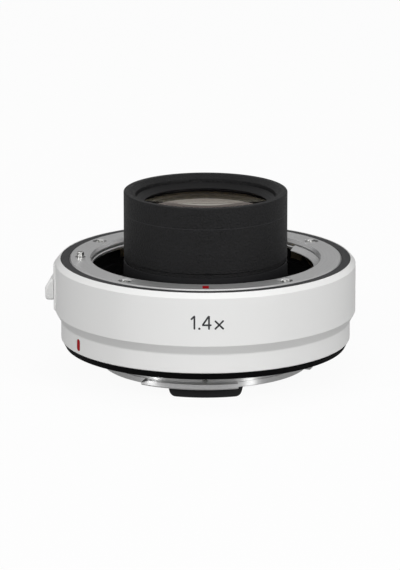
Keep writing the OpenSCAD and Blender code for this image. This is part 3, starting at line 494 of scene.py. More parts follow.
def spindle(bm, outline, place, sides=40):
    """Adds a small solid of revolution to a mesh; its outline starts and ends on its own axis."""
    rings = []
    for r, z in outline:
        turns = sides if r > 0 else 1
        rings.append([bm.verts.new(place @ Vector((r * math.cos(2 * math.pi * k / sides),
                                                   r * math.sin(2 * math.pi * k / sides), z)))
                      for k in range(turns)])
    for low, high in zip(rings, rings[1:]):
        for k in range(sides):
            corners = [low[k % len(low)], low[(k + 1) % len(low)],
                       high[(k + 1) % len(high)], high[k % len(high)]]
            bm.faces.new(list(dict.fromkeys(corners)))


def spun(name, outline, sides, place=Matrix()):
    """A small solid of revolution as a piece of its own."""
    bm = bmesh.new()
    spindle(bm, outline, place, sides)
    return piece(name, bm)


def prism(bm, outline, place, low, high):
    """Adds a flat outline drawn out from one height to another along its own Z."""
    feet = [bm.verts.new(place @ Vector((x, y, low))) for x, y in outline]
    tops = [bm.verts.new(place @ Vector((x, y, high))) for x, y in outline]
    bm.faces.new(feet[::-1])
    bm.faces.new(tops)
    for k in range(len(outline)):
        after = (k + 1) % len(outline)
        bm.faces.new((feet[k], feet[after], tops[after], tops[k]))


def settle(obj):
    """Turns an object and its modifiers into one plain mesh."""
    graph = bpy.context.evaluated_depsgraph_get()
    plain = bpy.data.meshes.new_from_object(obj.evaluated_get(graph), preserve_all_data_layers=True,
                                            depsgraph=graph)
    old = obj.data
    obj.modifiers.clear()
    obj.data = plain
    bpy.data.meshes.remove(old)
    plain.name = obj.name
    return obj


def carve(obj, bm, operation="DIFFERENCE", crossing=False):
    """Cuts the solids of a mesh out of an object, or joins them to it; crossing solids take longer."""
    tool = piece(obj.name + "_tool", bm)
    step = obj.modifiers.new("carve", "BOOLEAN")
    step.operation = operation
    step.solver = "EXACT"
    step.use_self = crossing
    step.object = tool
    settle(obj)
    bpy.data.objects.remove(tool)
    if not obj.data.polygons:
        raise RuntimeError(f"{obj.name} lost its mesh when it was carved")
    return obj


def dress(obj, finish, body, slot, *nodes, crease=32):
    """Gives a finished piece its shading, material and body, and hides the CAD nodes it stands for; its slot
    is not used.
    """
    obj.data.shade_smooth()
    obj.data.set_sharp_from_angle(angle=math.radians(crease))
    step = obj.modifiers.new("normals", "WEIGHTED_NORMAL")
    step.keep_sharp = True
    settle(obj)
    obj.data.materials.clear()
    obj.data.materials.append(finish_of(finish))
    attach(obj, body)
    if nodes:
        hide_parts(*nodes)
    return obj


def interface(tree, label, kind, value=None):
    """Adds one named input to a geometry tree."""
    socket = tree.interface.new_socket(label, in_out="INPUT", socket_type=kind)
    if value is not None:
        socket.default_value = value


def open_tree(name, inputs):
    """A geometry tree with its named inputs; gives the tree and the group input's outputs."""
    tree = bpy.data.node_groups.new(name, "GeometryNodeTree")
    tree.interface.new_socket("Geometry", in_out="OUTPUT", socket_type="NodeSocketGeometry")
    interface(tree, "Geometry", "NodeSocketGeometry")
    for label, kind, value in inputs:
        interface(tree, label, kind, value)
    return tree, add(tree, "NodeGroupInput").outputs


def close_tree(tree, geometry, material):
    """Ends a geometry tree in realised, painted geometry."""
    real = add(tree, "GeometryNodeRealizeInstances", {}, {"Geometry": geometry})
    painted = add(tree, "GeometryNodeSetMaterial", {}, {
        "Geometry": real.outputs["Geometry"], "Material": material})
    add(tree, "NodeGroupOutput", {}, {"Geometry": painted.outputs["Geometry"]})


def grow(name, tree, values, places=((0, 0, 0),), facings=((0, 0, 1),)):
    """Runs a geometry tree on points that each face one way, and keeps the plain mesh."""
    mesh = bpy.data.meshes.new(name)
    mesh.from_pydata([Vector(p) * MM for p in places], [], [])
    way = mesh.attributes.new("facing", "FLOAT_VECTOR", "POINT")
    for item, facing in zip(way.data, facings):
        item.vector = facing
    obj = stand(name, mesh)
    step = obj.modifiers.new("grow", "NODES")
    step.node_group = tree
    for item in tree.interface.items_tree:
        if item.in_out == "INPUT" and item.name in values:
            step[item.identifier] = values[item.name]
    settle(obj)
    if not obj.data.polygons:
        raise RuntimeError(f"{name} grew no faces")
    return obj


def screws_tree():
    """Sets one screw on each point, turned to face as the point says and spun at random about itself."""
    tree, given = open_tree("mount_screws", [
        ("Screw", "NodeSocketObject", None), ("Size", "NodeSocketFloat", 1.0),
        ("Spin seed", "NodeSocketInt", 4), ("Material", "NodeSocketMaterial", None)])
    part = add(tree, "GeometryNodeObjectInfo", {"transform_space": "ORIGINAL"}, {"Object": given["Screw"]})
    facing = add(tree, "GeometryNodeInputNamedAttribute", {"data_type": "FLOAT_VECTOR"}, {"Name": "facing"})
    spin = add(tree, "FunctionNodeRandomValue", {"data_type": "FLOAT"}, {
        2: 0.0, 3: math.pi / 2, "Seed": given["Spin seed"]})
    own = add(tree, "ShaderNodeCombineXYZ", {}, {"Z": spin.outputs[1]})
    spun = add(tree, "FunctionNodeEulerToRotation", {}, {"Euler": own.outputs["Vector"]})
    aim = add(tree, "FunctionNodeAlignRotationToVector", {"axis": "Z"}, {
        "Vector": facing.outputs["Attribute"]})
    both = add(tree, "FunctionNodeRotateRotation", {"rotation_space": "LOCAL"}, {
        "Rotation": aim.outputs["Rotation"], "Rotate By": spun.outputs["Rotation"]})
    points = add(tree, "GeometryNodeMeshToPoints", {}, {"Mesh": given["Geometry"]})
    placed = add(tree, "GeometryNodeInstanceOnPoints", {}, {
        "Points": points.outputs["Points"], "Instance": part.outputs["Geometry"],
        "Rotation": both.outputs["Rotation"], "Scale": given["Size"]})
    close_tree(tree, placed.outputs["Instances"], given["Material"])
    return tree


def row_tree():
    """Stands equal parts in a row on an arc, evenly stepped, centred on the far side and facing the axis."""
    tree, given = open_tree("contact_row", [
        ("Contact", "NodeSocketObject", None), ("Count", "NodeSocketInt", 12),
        ("Step", "NodeSocketFloat", CONTACT_STEP), ("Row radius", "NodeSocketFloat", CONTACT_ROW_R * MM),
        ("Material", "NodeSocketMaterial", None)])
    part = add(tree, "GeometryNodeObjectInfo", {"transform_space": "ORIGINAL"}, {"Object": given["Contact"]})
    less = add(tree, "ShaderNodeMath", {"operation": "SUBTRACT"}, {0: given["Count"], 1: 1.0})
    half = add(tree, "ShaderNodeMath", {"operation": "MULTIPLY"}, {0: less.outputs["Value"], 1: 0.5})
    index = add(tree, "GeometryNodeInputIndex")
    place = add(tree, "ShaderNodeMath", {"operation": "SUBTRACT"}, {
        0: index.outputs["Index"], 1: half.outputs["Value"]})
    angle = add(tree, "ShaderNodeMath", {"operation": "MULTIPLY"}, {
        0: place.outputs["Value"], 1: given["Step"]})
    sine = add(tree, "ShaderNodeMath", {"operation": "SINE"}, {0: angle.outputs["Value"]})
    cosine = add(tree, "ShaderNodeMath", {"operation": "COSINE"}, {0: angle.outputs["Value"]})
    x = add(tree, "ShaderNodeMath", {"operation": "MULTIPLY"}, {
        0: sine.outputs["Value"], 1: given["Row radius"]})
    y = add(tree, "ShaderNodeMath", {"operation": "MULTIPLY"}, {
        0: cosine.outputs["Value"], 1: given["Row radius"]})
    at = add(tree, "ShaderNodeCombineXYZ", {}, {"X": x.outputs["Value"], "Y": y.outputs["Value"]})
    back = add(tree, "ShaderNodeMath", {"operation": "MULTIPLY"}, {0: angle.outputs["Value"], 1: -1.0})
    turn = add(tree, "ShaderNodeCombineXYZ", {}, {"Z": back.outputs["Value"]})
    facing = add(tree, "FunctionNodeEulerToRotation", {}, {"Euler": turn.outputs["Vector"]})
    points = add(tree, "GeometryNodePoints", {}, {"Count": given["Count"], "Position": at.outputs["Vector"]})
    placed = add(tree, "GeometryNodeInstanceOnPoints", {}, {
        "Points": points.outputs["Geometry"], "Instance": part.outputs["Geometry"],
        "Rotation": facing.outputs["Rotation"]})
    close_tree(tree, placed.outputs["Instances"], given["Material"])
    return tree


def coil_tree():
    """A round wire wound into an open coil that stands on the point it grows from."""
    tree, given = open_tree("coil_spring", [
        ("Coil radius", "NodeSocketFloat", 1.3 * MM), ("Wire radius", "NodeSocketFloat", 0.175 * MM),
        ("Turns", "NodeSocketFloat", 6.0), ("Height", "NodeSocketFloat", 5.3 * MM),
        ("Material", "NodeSocketMaterial", None)])
    path = add(tree, "GeometryNodeCurveSpiral", {}, {
        "Resolution": 32, "Rotations": given["Turns"], "Start Radius": given["Coil radius"],
        "End Radius": given["Coil radius"], "Height": given["Height"]})
    section = add(tree, "GeometryNodeCurvePrimitiveCircle", {"mode": "RADIUS"}, {
        "Resolution": 10, "Radius": given["Wire radius"]})
    wire = add(tree, "GeometryNodeCurveToMesh", {}, {
        "Curve": path.outputs["Curve"], "Profile Curve": section.outputs["Curve"], "Fill Caps": True})
    placed = add(tree, "GeometryNodeInstanceOnPoints", {}, {
        "Points": add(tree, "GeometryNodeMeshToPoints", {}, {"Mesh": given["Geometry"]}).outputs["Points"],
        "Instance": wire.outputs["Mesh"]})
    close_tree(tree, placed.outputs["Instances"], given["Material"])
    return tree


def cross_screw(name, head_r, head_h, shank_r, length_mm, slot):
    """One domed screw along Z with its crown at the origin and a cross recess."""
    dome = [(head_r * k / 7, -0.24 * head_r * (k / 7) ** 2) for k in range(7)]
    end = -head_h - length_mm
    point = 0.15
    crown = dome + [(head_r, -0.26 * head_r), (head_r, -head_h), (shank_r, -head_h),
                    (shank_r, end + point), (shank_r - point, end), (0, end)]
    reach = head_r * 0.66
    foot = reach * 0.4
    depth = head_h * 0.62
    wedge = [(-reach, 0.3), (-reach, -0.05), (-foot, -depth), (foot, -depth), (reach, -0.05), (reach, 0.3)]
    upright = Matrix.Rotation(math.radians(90), 4, "X")
    recess = bmesh.new()
    for turn in (0, 90):
        prism(recess, wedge, Matrix.Rotation(math.radians(turn), 4, "Z") @ upright, -slot / 2, slot / 2)
    return carve(spun(name, crown[::-1], 48), recess, crossing=True)


def head_bore(face, side):
    """Outline of a screw's bore and counterbore below a face that looks up (1) or down (-1)."""
    outline = [(0, -3), (0.83, -3), (0.83, -0.88), (1.7, -0.88), (1.7, -0.1), (1.82, 0.02), (1.82, 1), (0, 1)]
    return [(r, face + side * z) for r, z in outline]


def drop(*objs):
    """Removes the single parts that repeats were grown from."""
    for obj in objs:
        bpy.data.objects.remove(obj)


def smooth_step(x):
    """Eases from 0 to 1."""
    x = min(1.0, max(0.0, x))
    return x * x * (3 - 2 * x)


def lever_pad(degrees, z):
    """How far the lever's pad lifts the barrel's wall at a place."""
    lift = 0.5
    half_width = 8.9
    low = 6.3
    high = 18.75
    across = smooth_step((half_width - abs(degrees - LEVER_ANGLE)) / 0.8)
    return lift * across * smooth_step((z - low) / 1.5) * min(1.0, max(0.0, (high - z) / 0.5))


class CONVERTER_OT_white_shell(bpy.types.Operator):
    """Builds the white barrel with its step, its bright top edge and the pad under the lever"""

    bl_idname = "converter.white_shell"
    bl_label = "White shell"

    def execute(self, context):
        s = sizes()
        edge = s.edge / MM
        outer = s.barrel_radius / MM
        top = s.barrel_top / MM
        lower = outer - 1.26
        bore = lower - 1.24
        rim = outer - 1.2
        foot = 0.82
        seat = 18.1
        walls = [(outer, z) for z in (9.5, 11.5, 13.5, 15.5, 17.2, 18.0, 18.25, 18.4, 18.55, 18.7)]
        outline = rounded([(bore, foot, edge), (lower, foot, 0.25), (lower, 5.37, 1.3), (outer, 7.63, 0.35)]
                          + walls + [(outer, 18.95, 0.18), (rim + 0.15, top, 0.12), (rim, top, 0.05),
                                     (rim, seat), (bore, seat)], 6)
        # Finer outlines within ten degrees of the lever, where the pad lifts the wall
        near = 10
        fine = 0.2
        angles = [a - 180 for a in around() if abs(a - 180 - LEVER_ANGLE) > near]
        angles += [LEVER_ANGLE + fine * k for k in range(-50, 51)]
        stations = []
        for a in sorted(angles):
            lifted = [(r + lever_pad(a, z) if r > lower - 0.1 else r, z) for r, z in outline]
            stations.append((a, lifted))
        shell = turned("white_shell", stations)
        cuts = bmesh.new()
        lever_slot = oblong(2.83, 1.95, 0.4)
        prism(cuts, lever_slot, facing_out(LEVER_ANGLE, 0, LEVER_Z), 30, 40)
        index_recess = oblong(0.75, 1.45, 0.749, 8)
        prism(cuts, index_recess, facing_out(-60.2, 0, 3.07), lower - 0.14, lower + 1)
        dress(carve(shell, cuts), "white_paint", "housing", "white_paint", "outer_barrel")
        return {"FINISHED"}


class CONVERTER_OT_trim_ring(bpy.types.Operator):
    """Builds the dark ring between the white rim and the lens mount"""

    bl_idname = "converter.trim_ring"
    bl_label = "Trim ring"

    def execute(self, context):
        s = sizes()
        edge = s.edge / MM
        out = s.barrel_radius / MM - 1.25
        top = s.barrel_top / MM - 0.05
        ring = lathed("trim_ring", [(31.2, 18.1), (out, 18.1), (out, top, edge), (32.35, top, edge),
                                    (32.35, 18.95), (31.2, 18.95)])
        dress(ring, "dark_trim", "housing", "dark_trim", "front_trim_ring")
        return {"FINISHED"}


class CONVERTER_OT_lens_mount(bpy.types.Operator):
    """Builds the plated lens-side bayonet with its tabs, counterbores and index recess"""

    bl_idname = "converter.lens_mount"
    bl_label = "Lens-side mount"
    tabs = ((-35.0, 17.0), (80.0, 127.0), (188.0, 227.0))

    def execute(self, context):
        s = sizes()
        edge = s.edge / MM
        face = s.register / MM
        flange = [(27.35, face, 0.06), (32.0, face, 0.08), (32.3, face - 0.3, 0.08), (32.3, face - 1.3),
                  (31.15, face - 1.3), (31.15, face - 2.0), (28.4, face - 2.0), (28.4, face - 2.55)]
        wall = [(27.0, face - 1.3), (27.0, face - 0.9, 0.3)]
        tab = rounded(flange + [(25.65, face - 2.55, edge), (25.65, face - 2.5), (25.65, face - 2.4),
                                (25.65, face - 2.3, edge), (26.9, face - 1.3)] + wall, 3)
        gap = rounded(flange + [(27.05, face - 2.55, edge), (27.05, face - 2.1), (26.85, face - 2.1),
                                (26.85, face - 1.85, edge), (27.05, face - 1.65)] + wall, 3)
        stations = []
        for start, end, following in with_next(self.tabs):
            stations.append((start, gap))
            stations += [(a, tab) for a in steps_between(start, end)]
            stations.append((end, gap))
            stations += [(a, gap) for a in steps_between(end, following)[1:-1]]
        mount = turned("lens_side_mount", stations)
        cuts = bmesh.new()
        for a in FRONT_SCREWS:
            spindle(cuts, head_bore(face, 1), standing(a, FRONT_SCREW_R), 48)
        pin_hole = [(0, face - 4), (1.2, face - 4), (1.2, face - 0.12), (1.34, face + 0.02),
                    (1.34, face + 1), (0, face + 1)]
        spindle(cuts, pin_hole, standing(LOCK_ANGLE, LOCK_R), 48)
        index_bar = [(-0.75, -31.2), (0.75, -31.2), (0.75, -28.5), (-0.75, -28.5)]
        prism(cuts, index_bar, Matrix(), face - 0.14, face + 1)
        dress(carve(mount, cuts), "chrome", "housing", "chrome", "front_mount")
        return {"FINISHED"}


class CONVERTER_OT_lens_tube(bpy.types.Operator):
    """Builds the black lens tube, its screwed-on rim and the ring that holds the front glass"""

    bl_idname = "converter.lens_tube"
    bl_label = "Lens tube"

    def execute(self, context):
        s = sizes()
        edge = s.edge / MM
        out = s.tube_radius / MM
        top = s.tube_top / MM
        seam = top - 5.12
        tube = lathed("lens_tube", [
            (14.6, -3.0), (17.0, -3.0, 0.2), (17.0, 4.9), (26.2, 4.9, edge), (26.2, 6.6, edge), (18.9, 6.6),
            (18.9, 20.56), (out, 20.56, 0.25), (out, seam, 0.03), (18.25, seam), (18.25, top - 7.78),
            (15.6, top - 7.78), (15.6, 15.5), (12.5, 15.5), (12.5, 14.0), (14.6, 14.0)])
        cuts = bmesh.new()
        for a in REAR_SCREWS:
            spindle(cuts, [(0, 4), (0.9, 4), (0.9, 7.5), (0, 7.5)], standing(a, 24.0), 32)
        film_slot = [(20.47, 4), (21.42, 4), (21.42, 7.5), (20.47, 7.5)]
        sweep(cuts, [(193 + k, film_slot) for k in range(15)], ring=False)
        dress(carve(tube, cuts), "black_enamel", "housing", "black_anodised", "lens_barrel")
        rim = lathed("tube_rim", [
            (14.2, top - 7.78), (18.2, top - 7.78), (18.2, seam + 0.15), (out, seam + 0.15, 0.05),
            (out, top, 0.3), (out - 1.37, top, 0.25), (16.6, top - 0.98, 0.08), (16.6, top - 3.98),
            (16.1, top - 3.98), (16.1, top - 6.98), (14.2, top - 6.98)])
        dress(rim, "black_enamel", "housing", "black_anodised", "nose_ring")
        # Thin ring of the lighter grey trim finish in the seam between tube and rim: a painted highlight
        # along the seam's edge
        line = lathed("seam_ring", [
            (18.3, seam + 0.01), (out - 0.01, seam + 0.01), (out, seam + 0.02), (out - 0.08, seam + 0.14),
            (18.3, seam + 0.14)])
        dress(line, "dark_trim", "housing", "black_anodised")
        ring = lathed("glass_ring", [
            (15.5, top - 3.53), (16.5, top - 3.53), (16.5, top - 1.73, edge), (14.6, top - 2.84, 0.04),
            (14.6, top - 2.94, 0.04), (15.5, top - 3.35)])
        dress(ring, "black_anodised", "housing", "black_anodised", "front_retaining_ring")
        return {"FINISHED"}


class CONVERTER_OT_glass(bpy.types.Operator):
    """Builds the seven lenses with finely curved faces"""

    bl_idname = "converter.glass"
    bl_label = "Glass"

    @staticmethod
    def fall(r, curve):
        """How far a curved face lies behind its middle at a radius."""
        return math.copysign(abs(curve) - math.sqrt(curve * curve - r * r), curve)

    def lens(self, number, finish, front, back, radius, low, high):
        """One lens from the height and curve of each face, its radius and the flat ends of its blank."""
        steps = [radius * k / 18 for k in range(19)]
        upper = [(r, min(high, front[0] - self.fall(r, front[1]))) for r in steps]
        lower = [(r, max(low, back[0] - self.fall(r, back[1]))) for r in reversed(steps)]
        glass = turned(f"glass_{number}", [(a, upper + lower) for a in around()])
        dress(glass, finish, "housing", "glass", f"lens_{number}", crease=20)

    def execute(self, context):
        top = sizes().tube_top / MM
        front = (16.05, top - 6.98, top)
        middle = (15.55, 15.5, top - 7.78)
        rear = (14.55, -3.0, 14.0)
        self.lens(1, "glass", (top - 2.659, 120), (top - 5.38, -120), *front)
        self.lens(2, "inner_glass", (top - 5.4, -120), (top - 6.18, 90), *front)
        self.lens(3, "inner_glass", (25.6, 60), (20.6, -50), *middle)
        self.lens(4, "inner_glass", (20.58, -50), (18.6, 55), *middle)
        self.lens(5, "inner_glass", (18.58, 55), (16.2, 120), *middle)
        self.lens(6, "inner_glass", (13.2, -100), (10.6, -60), *rear)
        self.lens(7, "inner_glass", (4.6, 50), (0.9, 120), *rear)
        return {"FINISHED"}


class CONVERTER_OT_throat_floor(bpy.types.Operator):
    """Builds the black floor of the throat with the collar round the lens tube"""

    bl_idname = "converter.throat_floor"
    bl_label = "Throat floor"

    def execute(self, context):
        floor = lathed("throat_floor", [
            (19.0, 10.8), (26.95, 10.8), (26.95, 11.4), (19.67, 11.4, 0.3), (19.37, 19.66, 0.12),
            (19.0, 19.66, 0.05)])
        cuts = bmesh.new()
        contact_window = [(20.82, 9), (24.77, 9), (24.77, 12.5), (20.82, 12.5)]
        start = 145.4
        width = 69.2
        steps = 46
        angles = [start + width * k / steps for k in range(steps + 1)]
        sweep(cuts, [(a, contact_window) for a in angles], ring=False)
        dress(carve(floor, cuts), "black_plastic", "housing", "black_plastic", "throat_liner")
        return {"FINISHED"}


class CONVERTER_OT_camera_mount(bpy.types.Operator):
    """Builds the plated camera-side bayonet with its lugs, and the rubber skirt round it"""

    bl_idname = "converter.camera_mount"
    bl_label = "Camera-side mount"
    lugs = ((-35.0, 17.0), (72.0, 125.0), (175.0, 227.0))

    def execute(self, context):
        edge = sizes().edge / MM
        flange = [(24.2, 0.3), (27.3, 0.3), (27.3, 0, 0.05), (31.6, 0, edge), (31.6, 1.5), (23.0, 1.5)]
        band = rounded([(23.0, -5.4, 0.1), (24.5, -5.4, 0.05), (24.55, -5.3, 0.05), (24.55, -4.1, 0.06),
                        (24.2, -4.1)] + flange, 3)

        def lug(top):
            return rounded([(23.0, -5.4, 0.1), (26.0, -5.4, 0.05), (26.3, -5.1, 0.05), (26.3, top, 0.1),
                            (24.2, top)] + flange, 3)

        lug_top = -4.05
        lead_low = -4.72
        lead_rise = 0.67
        lead = 4.4
        tail = 0.6
        stations = []
        for start, end, following in with_next(self.lugs):
            stations.append((start, band))
            for k in range(5):
                stations.append((start + lead * k / 4, lug(lead_low + lead_rise * smooth_step(k / 4))))
            stations += [(a, lug(lug_top)) for a in steps_between(start + lead, end - tail)[1:]]
            stations += [(end, lug(lug_top)), (end, band)]
            stations += [(a, band) for a in steps_between(end, following)[1:-1]]
        mount = turned("camera_side_mount", stations)
        cuts = bmesh.new()
        for a in REAR_SCREWS:
            spindle(cuts, head_bore(0, -1), standing(a, REAR_SCREW_R), 48)
        lock_hole = [(0, -1), (1.2, -1), (1.2, -0.02), (1.1, 0.1), (1.1, 3), (0, 3)]
        spindle(cuts, lock_hole, standing(LOCK_ANGLE, LOCK_R), 40)
        side_bore = [(0, 22), (0.52, 22), (0.52, 23.65), (0.75, 23.65), (0.75, 24.12), (0.82, 24.2),
                     (0.82, 25), (0, 25)]
        for a in SPIGOT_SCREWS:
            spindle(cuts, side_bore, facing_out(a, 0, SPIGOT_SCREW_Z), 40)
        dress(carve(mount, cuts), "chrome", "housing", "chrome", "rear_mount")
        skirt = lathed("rubber_skirt", [
            (31.8, 0.17), (32.64, -0.12, 0.2), (32.99, -0.85, 0.12), (33.34, -0.85, 0.15), (34.04, 0.52, 0.3),
            (34.04, 0.75, 0.08), (33.0, 0.75), (33.0, 1.65), (31.8, 1.65)])
        dress(skirt, "rubber", "housing", "rubber", "rear_seal")
        return {"FINISHED"}


class CONVERTER_OT_release(bpy.types.Operator):
    """Builds the release lever, the lock pin it draws back and the spring under its slide"""

    bl_idname = "converter.release"
    bl_label = "Release lever and lock"

    def lever(self):
        """The thumb key: one outline carried along the barrel, drawn in towards both ends."""
        base = 36.2
        mean = 37.2
        outline = rounded([(base, 9.45, 0.1), (38.15, 9.45, 0.85), (38.15, 12.5, 1.4), (37.45, 13.95, 1.0),
                           (base, 14.85, 0.2)], 6)
        stations = []
        soft = 0.7
        half = math.radians(6.5) * mean
        marks = [soft * (1 - math.cos(math.pi / 2 * k / 6)) for k in range(7)]
        along = [-half + m for m in marks] + [half - m for m in reversed(marks)]
        for d in along:
            rest = min(soft, half - abs(d))
            inset = soft - math.sqrt(max(0.0, soft * soft - (soft - rest) ** 2))
            shape = [(base + (r - base) * (1 - inset / 2.0), LEVER_Z + (z - LEVER_Z) * (1 - inset / 2.8))
                     for r, z in outline]
            stations.append((LEVER_ANGLE + math.degrees(d / mean), shape))
        return turned("release_key", stations, ring=False)

    def execute(self, context):
        key = self.lever()
        scoop = bmesh.new()
        ball = 5
        turns = [math.pi * k / 36 for k in range(1, 36)]
        outline = [(0, -ball)] + [(ball * math.sin(a), -ball * math.cos(a)) for a in turns] + [(0, ball)]
        spindle(scoop, outline, standing(LEVER_ANGLE + 3.6, 40.75, 16.95), 72)
        carve(key, scoop)
        shank = bmesh.new()
        shank_z = 12.9
        prism(shank, oblong(2.62, 1.0, 0.3), facing_out(LEVER_ANGLE, 0, shank_z), 32.5, 36.7)
        carve(key, shank, "UNION")
        bores = bmesh.new()
        for side in (-2.2, 2.2):
            place = facing_out(LEVER_ANGLE + side, 0, shank_z)
            spindle(bores, [(0, 30), (0.52, 30), (0.52, 36.4), (0, 36.4)], place, 24)
        dress(carve(key, bores), "white_paint", "release", "white_paint", "release_lever", crease=28)

        tip = sizes().register / MM + 1.1
        pin = spun("lock_pin_round", [
            (0, 8.0), (0.7, 8.0), (0.85, 8.15), (0.85, tip - 0.1), (0.82, tip - 0.03), (0.76, tip),
            (0, tip)], 48, standing(LOCK_ANGLE, LOCK_R))
        dress(pin, "steel", "release", "steel", "lock_pin")

        seat = 6.05
        tall = 5.3
        wire = 0.175
        spot = outward(LOCK_ANGLE) * LOCK_R
        coil = grow("lock_coil", coil_tree(), {
            "Coil radius": 1.3 * MM, "Wire radius": wire * MM, "Turns": 6.0, "Height": tall * MM,
            "Material": finish_of("steel")}, [spot + Vector((0, 0, seat + wire))])
        dress(coil, "steel", "housing", "steel", "lock_spring", crease=60)
        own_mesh(coil)
        return {"FINISHED"}


class CONVERTER_OT_fasteners(bpy.types.Operator):
    """Sets the cross-head screws of both mounts and of the spigot"""

    bl_idname = "converter.fasteners"
    bl_label = "Mount screws"

    def execute(self, context):
        s = sizes()
        tree = screws_tree()
        head = s.screw_head / MM
        long_screw = cross_screw("long_screw", head, 0.8, 0.8, 5.0, s.screw_slot / MM)
        short_screw = cross_screw("short_screw", 0.7, 0.8, 0.5, 1.65, 0.24)
        sunk = 0.08
        face = s.register / MM - sunk
        sets = (
            ("lens_side_screws", "front_mount_screws", long_screw, 7,
             [(outward(a) * FRONT_SCREW_R + Vector((0, 0, face)), (0, 0, 1)) for a in FRONT_SCREWS]),
            ("camera_side_screws", "rear_mount_screws", long_screw, 3,
             [(outward(a) * REAR_SCREW_R + Vector((0, 0, sunk)), (0, 0, -1)) for a in REAR_SCREWS]),
            ("spigot_screws", "baffle_screws", short_screw, 5,
             [(outward(a) * SPIGOT_SCREW_R + Vector((0, 0, SPIGOT_SCREW_Z)), outward(a))
              for a in SPIGOT_SCREWS]),
        )
        for name, node, screw, seed, spots in sets:
            values = {"Screw": screw, "Size": 1.0, "Spin seed": seed, "Material": finish_of("steel")}
            made = grow(name, tree, values, [p for p, f in spots], [f for p, f in spots])
            dress(made, "steel", "housing", "steel", node)
        drop(long_screw, short_screw)
        return {"FINISHED"}


class CONVERTER_OT_contacts(bpy.types.Operator):
    """Sets the sprung pins, the fingers under them and the flat contacts of the camera side"""

    bl_idname = "converter.contacts"
    bl_label = "Contacts"

    def finger(self):
        """One leaf that rises from the comb's strip to the foot of a pin."""
        root = 23.26 - CONTACT_ROW_R
        tip = -0.4
        half = 0.08
        spine = [(root + (tip - root) * k / 10, 8.45 + 0.65 * (k / 10) ** 1.15) for k in range(11)]
        outline = [(y, z - half) for y, z in spine] + [(y, z + half) for y, z in reversed(spine)]
        bm = bmesh.new()
        upright = Matrix(((0, 0, 1, 0), (1, 0, 0, 0), (0, 1, 0, 0), (0, 0, 0, 1)))
        prism(bm, outline, upright, -0.35, 0.35)
        return piece("one_finger", bm)

    def execute(self, context):
        count = sizes().contact_count
        tree = row_tree()
        tip = 0.45
        quarter = [math.pi / 2 * k / 5 for k in range(5)]
        dome = [(tip * math.cos(a), 12.25 + tip * math.sin(a)) for a in quarter]
        stem = [(0, 9.25), (0.4, 9.25), (tip, 9.3), (tip, 9.6), (0.68, 9.6), (0.68, 10.55), (tip, 10.55)]
        pin = spun("one_pin", stem + dome + [(0, 12.7)], 24)
        flat = [(0, -8.05), (0.35, -8.045), (0.52, -8.02), (0.6, -7.93), (0.6, -5.45), (0, -5.45)]
        pad = spun("one_pad", flat, 28)
        finger = self.finger()
        made = {}
        for name, part, finish in (("sprung_pins", pin, "gold"), ("flat_contacts", pad, "gold"),
                                   ("contact_fingers", finger, "bronze")):
            made[name] = grow(name, tree, {
                "Contact": part, "Count": count, "Step": CONTACT_STEP, "Row radius": CONTACT_ROW_R * MM,
                "Material": finish_of(finish)})
        drop(pin, pad, finger)
        dress(made["sprung_pins"], "gold", "pins", "gold", "contact_pins")
        dress(made["flat_contacts"], "gold", "housing", "gold", "rear_contacts")
        strip = bmesh.new()
        section = [(23.22, 8.35), (24.015, 8.35), (24.015, 8.55), (23.22, 8.55)]
        sweep(strip, [(151 + k, section) for k in range(59)], ring=False)
        comb = carve(made["contact_fingers"], strip, "UNION")
        dress(comb, "bronze", "housing", "bronze", "contact_comb")
        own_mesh(comb)
        return {"FINISHED"}


class CONVERTER_OT_figure(bpy.types.Operator):
    """Prints the magnification figure on the front of the barrel"""

    bl_idname = "converter.figure"
    bl_label = "Magnification figure"

    def stroke(self, bm, radius, start, end, width):
        """Adds one line with round ends that lies on the barrel's wall."""
        start = Vector(start)
        end = Vector(end)
        way = end - start
        long = way.length
        turn = math.atan2(way.y, way.x)
        steps = max(1, math.ceil(long / 0.25))
        half = width / 2
        quarter = [math.pi / 2 * k / 5 for k in range(1, 5)]
        spine = [(-half * math.cos(a), half * math.sin(a)) for a in quarter]
        spine += [(long * k / steps, half) for k in range(steps + 1)]
        spine += [(long + half * math.sin(a), half * math.cos(a)) for a in quarter]
        rows = []
        for sign in (1, -1):
            row = []
            for x, y in spine:
                across = start.x + x * math.cos(turn) - sign * y * math.sin(turn)
                z = start.y + x * math.sin(turn) + sign * y * math.cos(turn)
                row.append((math.degrees(across / radius), z))
            rows.append(row)
        layers = []
        for r in (radius - 0.05, radius + 0.012):
            layer = []
            for row in rows:
                layer.append([bm.verts.new(outward(a) * r + Vector((0, 0, z))) for a, z in row])
            layers.append(layer)
        for layer in layers:
            for k in range(len(spine) - 1):
                bm.faces.new((layer[0][k], layer[0][k + 1], layer[1][k + 1], layer[1][k]))
        low, high = layers
        for row in (0, 1):
            for k in range(len(spine) - 1):
                bm.faces.new((low[row][k], low[row][k + 1], high[row][k + 1], high[row][k]))
        for k in (0, -1):
            bm.faces.new((low[0][k], low[1][k], high[1][k], high[0][k]))

    def execute(self, context):
        s = sizes()
        radius = s.barrel_radius / MM
        width = s.figure_stroke / MM
        base = 11.66
        foot = base + width / 2
        head = foot + s.figure_height / MM - width
        lines = [
            ((-2.6, foot), (-2.6, head)), ((-2.66, head), (-3.26, head - 0.62)),
            ((-1.47, foot + 0.02), (-1.46, foot + 0.02)),
            ((0.76, foot), (0.76, head)), ((0.66, head), (-0.66, foot + 0.96)),
            ((-0.66, foot + 0.86), (1.16, foot + 0.86)),
            ((2.23, foot), (4.01, foot + 1.78)), ((2.23, foot + 1.78), (4.01, foot)),
        ]
        # Each line lies a little further out than the one before, so that no two faces coincide
        lift = 0.0008
        point = 2
        for i, (start, end) in enumerate(lines):
            bm = bmesh.new()
            self.stroke(bm, radius + lift * i, start, end, width * (1.3 if i == point else 1.0))
            figure = carve(figure, bm, "UNION") if i else piece("magnification_figure", bm)
        dress(figure, "ink", "housing", "white_paint")
        return {"FINISHED"}


